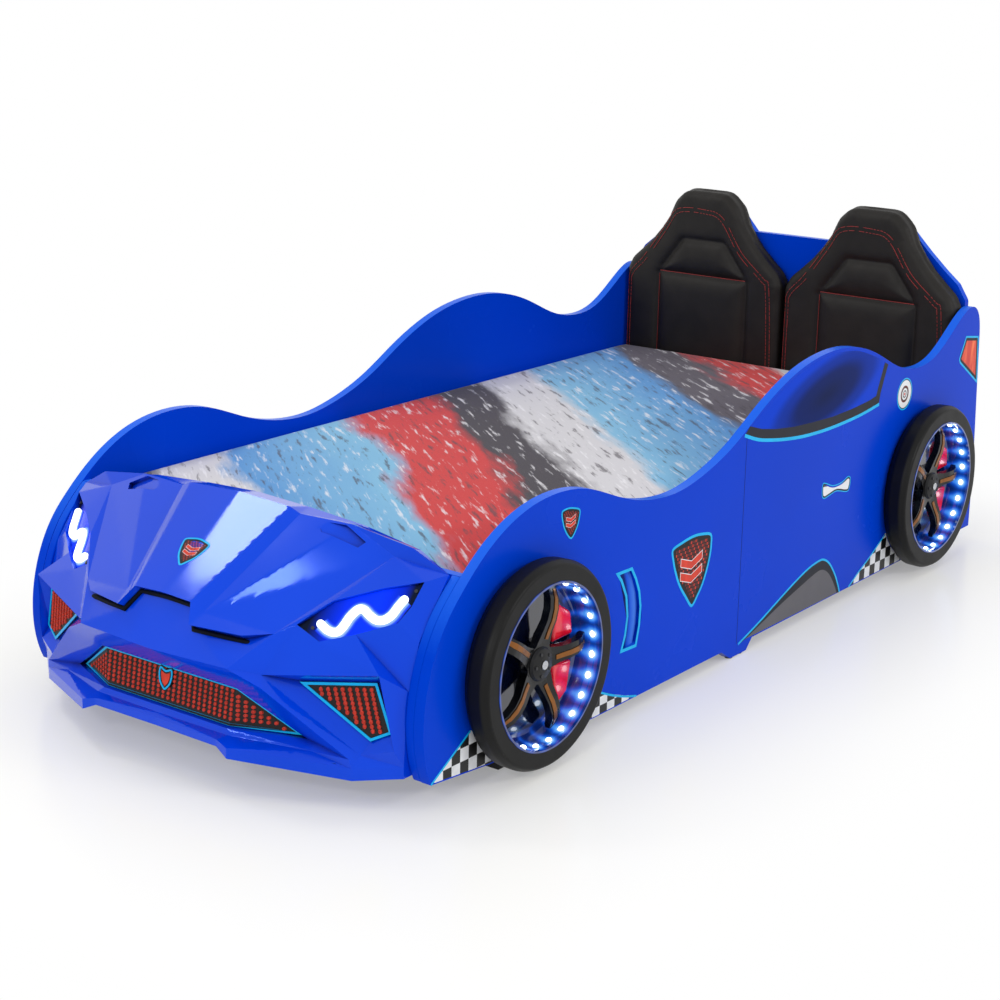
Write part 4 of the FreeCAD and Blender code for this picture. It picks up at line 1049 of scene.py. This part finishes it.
def badge(soup, outline, place, size, line=5.0):
    """Shield with a cyan rim, a dark ground of red dashes and two plain chevrons."""
    rim = curve_through(outline, 4, closed=True)
    if area_of(rim) < 0:
        rim = rim[::-1]
    ground = offset(rim, line)
    core = offset(rim, line * 1.9)
    soup.slab(ring_loops(rim, line), place, LIFT, FOIL + 0.1, cyan_line)
    soup.slab([ground], place, LIFT, FOIL, black_print)
    us = [p[0] for p in core]
    vs = [p[1] for p in core]
    width, height = max(us) - min(us), max(vs) - min(vs)
    cx, cy = (max(us) + min(us)) / 2, (max(vs) + min(vs)) / 2
    columns = max(5, int(width / (size * 0.085)))
    rows = max(6, int(height / (size * 0.12)))
    dash_w, dash_h = width / columns * 0.3, height / rows * 0.36
    for i in range(columns):
        for j in range(rows):
            u = min(us) + width * (i + 0.5) / columns
            v = min(vs) + height * (j + 0.5) / rows
            corners = [(u - dash_w, v - dash_h), (u + dash_w, v - dash_h), (u + dash_w, v + dash_h),
                       (u - dash_w, v + dash_h)]
            if all(inside(c, core) for c in corners):
                dash = maroon if (i + j) % 3 else red_print
                soup.slab([corners], place, FOIL - 0.05, FOIL + 0.08, dash)
    for drop in (0.17, -0.05):
        top = cy + height * drop
        half, tall, thick = width * 0.3, height * 0.1, height * 0.12
        mark = [(cx - half, top + tall), (cx, top), (cx + half, top + tall),
                (cx + half, top + tall - thick), (cx, top - thick), (cx - half, top + tall - thick)]
        soup.slab([offset(mark, 1.4 * size / 60)], place, FOIL, FOIL + 0.14, white_print)
        soup.slab([mark], place, FOIL, FOIL + 0.2, red_print)


LINE = 0.1      # how far a cyan line stands over the foils beside it
WHEEL_ARC = 171.5
ROUNDEL_SPOT = (717, 426)
ROUNDEL = ((36.5, 33.5, cyan_line, LINE), (33.5, 31.5, charcoal, 0.05), (31.5, 0, white_print, 0.0),
           (19.0, 15.5, maroon, 0.08), (15.5, 13.5, black_print, 0.08),
           (8.5, 6.0, black_print, 0.08), (3.2, 0, red_print, 0.08))
FRONT_Y, REAR_Y = WHEELS["front_left"][1], WHEELS["rear_left"][1]
for side, sign in (("left", 1), ("right", -1)):
    place = on_side(sign)

    art = Foils(place)
    badge(art, SHIELD, place, 60.0, 5.5)
    badge(art, SMALL_SHIELD, place, 24.0, 3.0)
    art.make("badges_" + side, "blue_board")

    art = Foils(place)
    art.lay([BAND_UP + BAND_LOW[::-1]], charcoal)
    art.lay(ribbon(curve_through(CYAN_UP, 3), -7.0), cyan_line, LINE)
    art.lay([curve_through(CREST, 4) + BAND_UP[::-1][1:-1]], scoop_print, -0.05)
    art.make("window_print_" + side, "blue_board")

    art = Foils(place)
    rim = curve_through(HANDLE, 3, closed=True)
    art.lay(ring_loops(rim, 2.2), cyan_line, LINE)
    art.lay(ring_loops(inset(rim, 2.0), 3.6), charcoal, 0.05)
    art.lay([inset(rim, 5.4)], white_print)
    art.make("handle_print_" + side, "blue_board")

    art = Foils(place)
    outer = curve_through(SILL_OUT, 4)
    inner = curve_through(SILL_IN, 4)
    art.lay(ribbon(outer, -4.5), cyan_line, LINE)
    art.lay([offset(outer, -4.0, closed=False) + inner[::-1]], charcoal)
    art.lay([inner], sill_grey)
    art.make("sill_print_" + side, "blue_board")

    art = Foils(place)
    for radius, hole, look, rise in ROUNDEL:
        loops = [circle(*ROUNDEL_SPOT, radius)]
        if hole:
            loops.append(circle(*ROUNDEL_SPOT, hole)[::-1])
        art.lay(loops, look, rise)
    art.make("roundel_" + side, "blue_board")

    art = Foils(place)
    art.lay(ring_loops(TAIL, 4.5), cyan_line, LINE)
    dark = inset(TAIL, 4.0)
    art.lay(ring_loops(dark, 7.0), charcoal, 0.05)
    art.lay([inset(dark, 6.5)], tail_red)
    art.make("tail_print_" + side, "blue_board")

    art = Foils(place)
    arch = curve_through(ARCH, 3)
    art.lay(ribbon(arch, -4.5), cyan_line, 0.05)
    wheel_edge = circle(REAR_Y, WHEEL_Z, WHEEL_ARC, 16, -22, 66)
    art.lay([offset(arch, -4.0, closed=False) + wheel_edge], charcoal)
    art.make("arch_print_" + side, "blue_board")

    art = Foils(place)
    art.lay([[(-948, 53.5), (-789, 38.5)] + circle(FRONT_Y, WHEEL_Z, WHEEL_ARC, 6, 250, 208.6)
             + [(-846, 115)]], chequer_front)
    art.lay(ribbon([(-951, 53.5), (-846.5, 117)], -4.0), cyan_line, LINE)
    top = [(-540, 116), (-490, 86), (-450, 67), (-415, 52), (-376, 38), (-335, 27)]
    art.lay([[(-628, 31.5), (-475, 26.0), (-335, 27)] + top[::-1][1:]
             + circle(FRONT_Y, WHEEL_Z, WHEEL_ARC, 6, -28.5, -67)], chequer_middle)
    art.lay(ribbon(curve_through(top, 3), -4.0), cyan_line, LINE)
    top = [(506, 29.5), (550, 53), (598, 75), (658, 107), (669, 112.5)]
    art.lay([[(506, 29.5), (770, 30.5)] + circle(REAR_Y, WHEEL_Z, WHEEL_ARC, 6, 257, 209.6)
             + top[::-1][1:-1]], chequer_rear)
    art.lay(ribbon(top, -4.0), cyan_line, LINE)
    art.make("chequers_" + side, "blue_board")

    # Painted shade: a thin navy strip down the seam between the front and rear panels, to just under
    # the top edge.
    art = Foils(place)
    wall = hit_tree(nodes["side_panel_%s_rear" % side])
    inward = Vector((-sign, 0, 0))
    top_z = 300.0
    while top_z < 600.0 and wall.ray_cast(Vector((sign * 700.0, 33.0, top_z)) * MM, inward, 0.24)[0]:
        top_z += 1.0
    high = top_z - 8.0
    art.lay([[(29.3, 27.0), (30.7, 27.0), (30.7, high), (29.3, high)]], seam_shade, -0.07)
    art.make("seam_line_" + side, "blue_board")

    art = Foils(place)
    rim = curve_through(VENT_OUT, 1, closed=True)
    art.lay(ring_loops(inset(rim, -1.0), 6.0), cyan_line, LINE)
    art.make("vent_rim_" + side, "blue_board")
    art = Soup()
    art.slab([inset(rim, 3.0)], place, -7.8, -7.4, vent_print)
    art.make("vent_liner_" + side, "blue_board")


# ---------------------------------------------------------------- grilles
def bead(soup, place, u, v, half_u, half_v, high, look, segments=10):
    """A link of the grille: an oval boss with a dimple."""
    verts = []
    rings = ((1.0, 0.0), (0.9, 0.75), (0.6, 1.0), (0.32, 0.55))
    for reach, level in rings:
        for k in range(segments):
            angle = 2 * pi * k / segments
            verts.append(place(u + half_u * reach * cos(angle), v + half_v * reach * sin(angle),
                               high * level))
    soup.add(verts, rings_joined(len(rings), segments), look)


def plate_frame(corners, sign):
    """Flat frame on four corners: a place function and the outline in it."""
    spots = [Vector(c) for c in corners]
    normal = (spots[1] - spots[0]).cross(spots[3] - spots[0]).normalized()
    if normal.y > 0:
        normal = -normal
    along = (spots[1] - spots[0]).normalized()
    upward = normal.cross(along)
    if upward.z < 0:
        upward = -upward
    origin = spots[0]

    def place(u, v, height):
        p = origin + along * u + upward * v + normal * height
        return (sign * p.x, p.y, p.z)
    flat = [((c - origin).dot(along), (c - origin).dot(upward)) for c in spots]
    return place, flat


SIDE_GRILLE = ((268.5, -1038.4, 209), (395.6, -990.2, 223.6), (421.8, -985.1, 138.4),
               (385.4, -995.3, 120))
STUD_PITCH = 8.0
for side, sign in (("left", 1), ("right", -1)):
    place, flat = plate_frame(SIDE_GRILLE, sign)
    rim = flat if area_of(flat) > 0 else flat[::-1]
    art = Soup()
    art.slab(ring_loops(rim, 4.6), place, 0.1, 1.5, cyan_line)
    art.make("grille_rim_" + side, "blue_moulding")
    art = Soup()
    field = offset(rim, 9.5)
    wide = max(p[0] for p in flat)
    columns = 12
    for i in range(columns):
        for j in range(-16, 4):
            v = j * STUD_PITCH + 4.0
            u = wide * (i + 0.75) / columns - v * 0.1
            if inside((u, v), field):
                bead(art, place, u, v, 3.7, 4.5, 3.0, stud_red)
    art.make("grille_links_" + side, "grille_dark")


WING = [Vector(p) for p in ((161.5, -1072.0, 184.0), (274.8, -1024.0, 108.0),
                            (147.8, -1083.0, 112.0))]


def front_y(x, z):
    """Face of the centre grille plate."""
    middle = -1072.0 - 11.0 * (184.0 - z) / 72.0
    a, b, c = WING
    n = (b - a).cross(c - a)
    wing = a.y - (n.x * (abs(x) - a.x) + n.z * (z - a.z)) / n.y
    return max(middle, wing)


def on_grille(x, z, height):
    return (x, front_y(x, z) - height, z)


CENTRE_RIM = [(-147.5, 113.4), (147.5, 113.4), (268.0, 109.8), (160.0, 182.6), (-160.0, 182.6),
              (-268.0, 109.8)]
art = Soup()
art.slab(ring_loops(CENTRE_RIM, 4.4), on_grille, 0.1, 1.5, cyan_line)
art.make("grille_rim_centre", "blue_moulding")
art = Soup()
field = offset(CENTRE_RIM, 8.5)
for i in range(-22, 23):
    for j in range(9):
        x, z = i * 12.4, 118.0 + j * 8.0
        if inside((x, z), field):
            bead(art, on_grille, x, z, 3.5, 3.6, 2.6, stud_red, 8)
art.make("grille_links_centre", "grille_dark")
SIGN = [(-13, 178), (0, 173.5), (13, 178), (16.5, 168), (14, 154), (8, 145), (0, 139), (-8, 145),
        (-14, 154), (-16.5, 168)]
art = Soup()
shield = [(x - 8.0, z) for x, z in curve_through(SIGN, 3, closed=True)]
if area_of(shield) < 0:
    shield = shield[::-1]
art.slab([offset(shield, -1.6)], on_grille, 0.1, 3.0, grille_dark)
art.slab(ring_loops(shield, 3.0), on_grille, 2.9, 3.9, cyan_line)
art.slab([offset(shield, 6.0)], on_grille, 2.9, 3.7, red_print)
art.make("grille_shield", "grille_dark")


# ---------------------------------------------------------------- badge on the hood
bpy.context.view_layer.update()
skin_tree = hit_tree(skin_piece)
HOOD_NORMAL = Vector((0.0, -0.5868, 0.8098))
HOOD_UP = Vector((0.0, 0.8098, 0.5868))
BADGE_SPOT = Vector((-6.0, -1014.0, 374.0))


def on_hood(u, v, height):
    start = (BADGE_SPOT + Vector((u, 0, 0)) + HOOD_UP * v + HOOD_NORMAL * 40.0) * MM
    hit = skin_tree.ray_cast(start, -HOOD_NORMAL)[0]
    spot = hit / MM if hit else BADGE_SPOT + Vector((u, 0, 0)) + HOOD_UP * v
    return tuple(spot + HOOD_NORMAL * (height + 0.25))


HOOD_SHIELD = [(-30, 22), (-15, 27), (0, 29), (15, 27), (30, 22), (29, 8), (22, -10), (12, -23),
               (0, -33), (-12, -23), (-22, -10), (-29, 8)]
art = Soup()
badge(art, HOOD_SHIELD, on_hood, 26.0, 3.4)
art.make("hood_badge", "blue_moulding")


# ---------------------------------------------------------------- painted shade under the hood lip
LIP_SHADE_HALF = ((187.0, -1074.0, 268.0), (181.0, -1076.0, 269.0), (131.0, -1087.0, 271.0),
             (84.0, -1098.0, 274.0), (62.0, -1077.0, 306.0), (30.0, -1077.0, 308.0),
             (0.0, -1077.0, 309.0))
# A dark cord laid along the recess under the lip: painted shade in that recess.
art = Soup()
lip_shade_line = [(-x, y, z) for x, y, z in LIP_SHADE_HALF] + list(LIP_SHADE_HALF[::-1][1:])
tube(art, lip_shade_line, 4.6, lip_shade_black, 12, 3)
art.make("lip_shade_cord", "blue_moulding", smooth=60)


# ---------------------------------------------------------------- headlamps
LAMP_NORMAL = Vector((0.36441, -0.76184, 0.53554))
GUIDE = ((285.7, -1005.3, 304.9), (295.8, -1004.8, 298.7), (306.4, -1002.5, 294.8),
         (316.1, -996.9, 296.2), (321.1, -988.3, 305.0), (325.2, -976.2, 319.3),
         (332.5, -965.4, 329.7), (341.0, -960.9, 330.4), (353.0, -960.4, 323.0),
         (365.8, -958.4, 317.0), (377.2, -952.4, 318.0), (385.6, -942.9, 325.6),
         (390.3, -931.5, 338.6), (395.0, -921.4, 349.2))


give(["headlamp_tray_left", "headlamp_tray_right"], lamp_tray)
for side, sign in (("left", 1), ("right", -1)):
    art = Soup()
    line = [(sign * x, y, z) for x, y, z in curve_through(GUIDE, 4)]
    tube(art, line, 7.2, lamp_white, 14, 4)
    piece = art.make("light_guide_" + side, "lamp_white", smooth=60)
    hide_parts("headlamp_guide_" + side)
    art = Soup()
    normal = Vector((sign * LAMP_NORMAL.x, LAMP_NORMAL.y, LAMP_NORMAL.z)).normalized()
    tray = hit_tree(nodes["headlamp_tray_" + side])
    spots = [Vector(p) for p in line]
    middle = spots[len(spots) // 2]
    floor_hit = tray.ray_cast((middle + normal * 20) * MM, -normal)[0] / MM
    along = Vector((normal.z, 0, -normal.x)).normalized()
    upward = normal.cross(along)

    def on_tray(u, v, height):
        return tuple(floor_hit + along * u + upward * v + normal * height)
    flat = [((p - floor_hit).dot(along), (p - floor_hit).dot(upward)) for p in spots]
    # Painted glow: the halo bands laid as foils on the tray along each light guide.
    for step, (width, look) in enumerate(zip((14.5, 12.8, 11.2, 9.8), halo_looks)):
        soft = [offset(flat, width * k, closed=False) for k in (-1.0, 1.0)]
        for k in range(len(flat) - 1):
            cell = [soft[0][k], soft[0][k + 1], soft[1][k + 1], soft[1][k]]
            high = 0.3 + 0.25 * step
            art.add([on_tray(u, v, h) for h in (0.05, high) for u, v in cell], box_faces(), look)
    art.make("lamp_halo_" + side, "lamp_blue")


# ---------------------------------------------------------------- wheels
def wheel_frame(sign, wheel_y):
    """Place for (radius, angle in radians, distance out from the panel face)."""
    def place(radius, angle, out):
        y, z = wheel_y + radius * cos(angle), WHEEL_Z + radius * sin(angle)
        return (sign * (PANEL_X + out), y, z)
    return place


def turned(soup, place, profile, look, segments=96):
    """Closed ring from a closed (radius, out) profile."""
    verts, faces = [], []
    count = len(profile)
    for k in range(segments):
        angle = 2 * pi * k / segments
        verts += [place(r, angle, out) for r, out in profile]
    for k in range(segments):
        for i in range(count):
            a, b = k * count + i, k * count + (i + 1) % count
            c, d = ((k + 1) % segments) * count + (i + 1) % count, ((k + 1) % segments) * count + i
            faces.append((a, b, c, d))
    soup.add(verts, faces, look)


HUB_DISC = [(0.4, 42.0), (7.6, 42.0), (8.2, 42.5), (7.8, 43.1), (6.6, 42.9), (0.4, 42.9)]
for wheel, (sign, wheel_y) in WHEELS.items():
    place = wheel_frame(sign, wheel_y)
    art = Soup()
    dish = dish_front if wheel_y < 0 else dish_rear
    turned(art, place, [(144.7, 36.2), (146.1, 36.2), (146.1, 45.8), (144.7, 45.8)], dish)
    for k in range(LED_COUNT):
        phase = LED_PHASE + 2 * pi * k / LED_COUNT
        verts = []
        for ring in range(LED_RINGS):
            rise = pi / 2 * ring / (LED_RINGS - 0.5)
            reach = LED_SIZE * cos(rise)
            for s in range(LED_SIDES):
                around = 2 * pi * s / LED_SIDES
                verts.append(place(LED_RADIUS - 4.2 * sin(rise),
                                   phase + reach * cos(around) / LED_RADIUS,
                                   LED_OUT + 0.86 * reach * sin(around)))
        art.add(verts, rings_joined(LED_RINGS, LED_SIDES), led_white)
    piece = art.make("light_ring_" + wheel, "led_white", smooth=50)
    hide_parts("led_ring_" + wheel)

    give(["spoke_star_" + wheel], spoke_black)
    round_edges("spoke_star_" + wheel, 2.4, 3, 32.0)
    art = Soup()
    turned(art, place, HUB_DISC, silver, 40)
    for k in range(5):
        phase = radians(3 + 36 + 72 * k)
        cy, cz = 21.0 * cos(phase), 21.0 * sin(phase)
        verts = []
        for out, size in ((37.0, 3.6), (40.4, 3.6), (41.0, 2.8)):
            for s in range(6):
                turn = pi / 3 * s + phase
                verts.append((sign * (PANEL_X + out), wheel_y + cy + size * cos(turn),
                              WHEEL_Z + cz + size * sin(turn)))
        art.add(verts, rings_joined(3, 6), plastic_dark)
    art.make("hub_disc_" + wheel, "hub_black", smooth=40)
give(["spoke_inlays"], bronze)
round_edges("spoke_inlays", 0.6, 2, 32.0)


# ---------------------------------------------------------------- stitching
STITCH = ((-212, 290), (-212, 510), (-208, 557), (-167, 603), (-114, 679), (-75, 729), (4, 734),
          (54, 719), (110, 641), (176, 584), (191, 559), (201, 398), (201, 290))
STITCH_GAP = 1.3
THREAD_STANDS = 0.25


def thread(soup, cover, points, shift, radius, dash=7.5):
    """Sewing thread on the face of a cushion cover, in short stitches or in one line."""
    tree = hit_tree(cover)

    def drop(x, z):
        hit = tree.ray_cast(Vector((x + shift, 900.0, z)) * MM, Vector((0, 1, 0)))[0]
        return (x + shift, hit.y / MM - radius - THREAD_STANDS, z) if hit else None
    line = curve_through(points, 8)
    walked, stitch = 0.0, []
    for a, b in zip(line, line[1:]):
        run = hypot(b[0] - a[0], b[1] - a[1])
        steps = max(1, int(run / 1.6))
        for k in range(steps):
            here = (a[0] + (b[0] - a[0]) * k / steps, a[1] + (b[1] - a[1]) * k / steps)
            walked += run / steps
            if dash and walked % (dash + STITCH_GAP) > dash:
                if len(stitch) > 2:
                    tube(soup, stitch, radius, thread_red, 6, 1)
                stitch = []
                continue
            spot = drop(*here)
            if spot:
                stitch.append(spot)
    if len(stitch) > 2:
        tube(soup, stitch, radius, thread_red, 6, 1)


for side, sign in (("left", 1), ("right", -1)):
    art = Soup()
    smooth_line = curve_through(STITCH, 4)
    for apart in (-5.0, 5.0):
        thread(art, covers[side], offset(smooth_line, apart, closed=False), sign * CUSHION_X, 0.75)
    thread(art, covers[side], [(-124, 573.4), (124, 573.4)], sign * CUSHION_X, 0.8, 0)
    thread(art, covers[side], [(-126, 566), (-127, 310)], sign * CUSHION_X, 0.6, 0)
    art.make("stitching_" + side, "black_leather")


# ---------------------------------------------------------------- stage, light, camera
FLOOR_HALF = 60.0
FOOTPRINT = (("X", 0.5), ("Y", 1.08))
FADE = 0.62         # how far from the footprint the floor turns to plain white
floor = bpy.data.meshes.new("floor")
square = ((-1, -1), (1, -1), (1, 1), (-1, 1))
floor.from_pydata([(x * FLOOR_HALF, y * FLOOR_HALF, 0) for x, y in square], [], [(0, 1, 2, 3)])
floor_piece = placed("floor", floor)
floor_look = Look("floor", (252, 251, 245), 0.22, specular=0.35)
floor_look.vary(0.006, 0.6).polish(0.18, 0.3, 0.8)
plan = floor_look.axes()
past = []
for axis, half in FOOTPRINT:
    gap = floor_look.math("SUBTRACT", floor_look.math("ABSOLUTE", plan[axis]), half)
    past.append(floor_look.math("MAXIMUM", gap, 0.0))
reach = floor_look.math("SQRT", floor_look.squares(*past))
far = floor_look.node("MapRange", interpolation_type="SMOOTHSTEP")
floor_look.link(reach, far.inputs["Value"])
for socket, value in (("From Min", 0.0), ("From Max", FADE), ("To Min", 0.3), ("To Max", 1.0)):
    floor_look.put(far, socket, value)
rays = floor_look.node("LightPath")
shown = floor_look.math("MAXIMUM", rays.outputs["Is Camera Ray"], rays.outputs["Is Glossy Ray"])
white = floor_look.node("Emission")
floor_look.put(white, "Color", (1, 1, 1, 1))
blend = floor_look.node("MixShader")
floor_look.link(floor_look.math("MULTIPLY", far.outputs["Result"], shown), blend.inputs[0])
floor_look.link(floor_look.bsdf.outputs[0], blend.inputs[1])
floor_look.link(white.outputs[0], blend.inputs[2])
floor_look.link(blend.outputs[0], floor_look.tree.nodes["Material Output"].inputs["Surface"])
floor.materials.append(floor_look.mat)

WORLD_LEVEL = 0.84      # what lights the part; the camera and mirrors see pure white
world = bpy.data.worlds.new("studio")
bpy.context.scene.world = world
world.use_nodes = True
sky = Graph(world.node_tree)
background = sky.tree.nodes["Background"]
sky.put(background, "Color", (1, 1, 1, 1))
path = sky.node("LightPath").outputs
either = sky.math("MAXIMUM", path["Is Glossy Ray"], path["Is Transmission Ray"])
seen = sky.math("MAXIMUM", path["Is Camera Ray"], either)
level = sky.math("MULTIPLY_ADD", seen, 1.0 - WORLD_LEVEL, WORLD_LEVEL)
sky.link(level, background.inputs["Strength"])


def softbox(name, spot, target, size, power):
    lamp = bpy.data.lights.new(name, "AREA")
    lamp.shape = "RECTANGLE"
    lamp.size, lamp.size_y = size
    lamp.energy = power
    item = placed(name, lamp)
    item.location = spot
    item.visible_camera = False
    item.rotation_mode = "QUATERNION"
    item.rotation_quaternion = (Vector(target) - Vector(spot)).to_track_quat("-Z", "Y")


softbox("left", (-1.75, -1.15, 2.75), (0, -0.95, 0.4), (0.55, 0.4), 12)
softbox("front", (-0.34, -2.5, 2.9), (0.1, -1.0, 0.35), (0.24, 0.2), 2.6)
softbox("camera_side", (1.6, -4.6, 2.6), (0, -0.9, 0.3), (0.8, 0.5), 34)
softbox("right", (4.2, 0.2, 2.4), (0.5, 0, 0.3), (1.6, 0.6), 40)

# Camera: measured from the photograph.
AZIMUTH, ELEVATION, ROLL = radians(36.848), radians(15.895), radians(1.0763)
CAMERA_SPOT = (2.4499, -3.4066, 1.4401)
camera = placed("camera", bpy.data.cameras.new("camera"))
backward = Vector((sin(AZIMUTH) * cos(ELEVATION), -cos(AZIMUTH) * cos(ELEVATION),
                   sin(ELEVATION)))
right = Vector((cos(AZIMUTH), sin(AZIMUTH), 0))
upward = backward.cross(right)
axis_x = right * cos(ROLL) + upward * sin(ROLL)
axis_y = upward * cos(ROLL) - right * sin(ROLL)
turned_to = Matrix((axis_x, axis_y, backward)).transposed().to_4x4()
camera.matrix_world = Matrix.Translation(CAMERA_SPOT) @ turned_to
camera.data.sensor_width = 36.0
camera.data.lens = 74.34
bpy.context.scene.camera = camera
bpy.context.scene.view_settings.view_transform = "Standard"
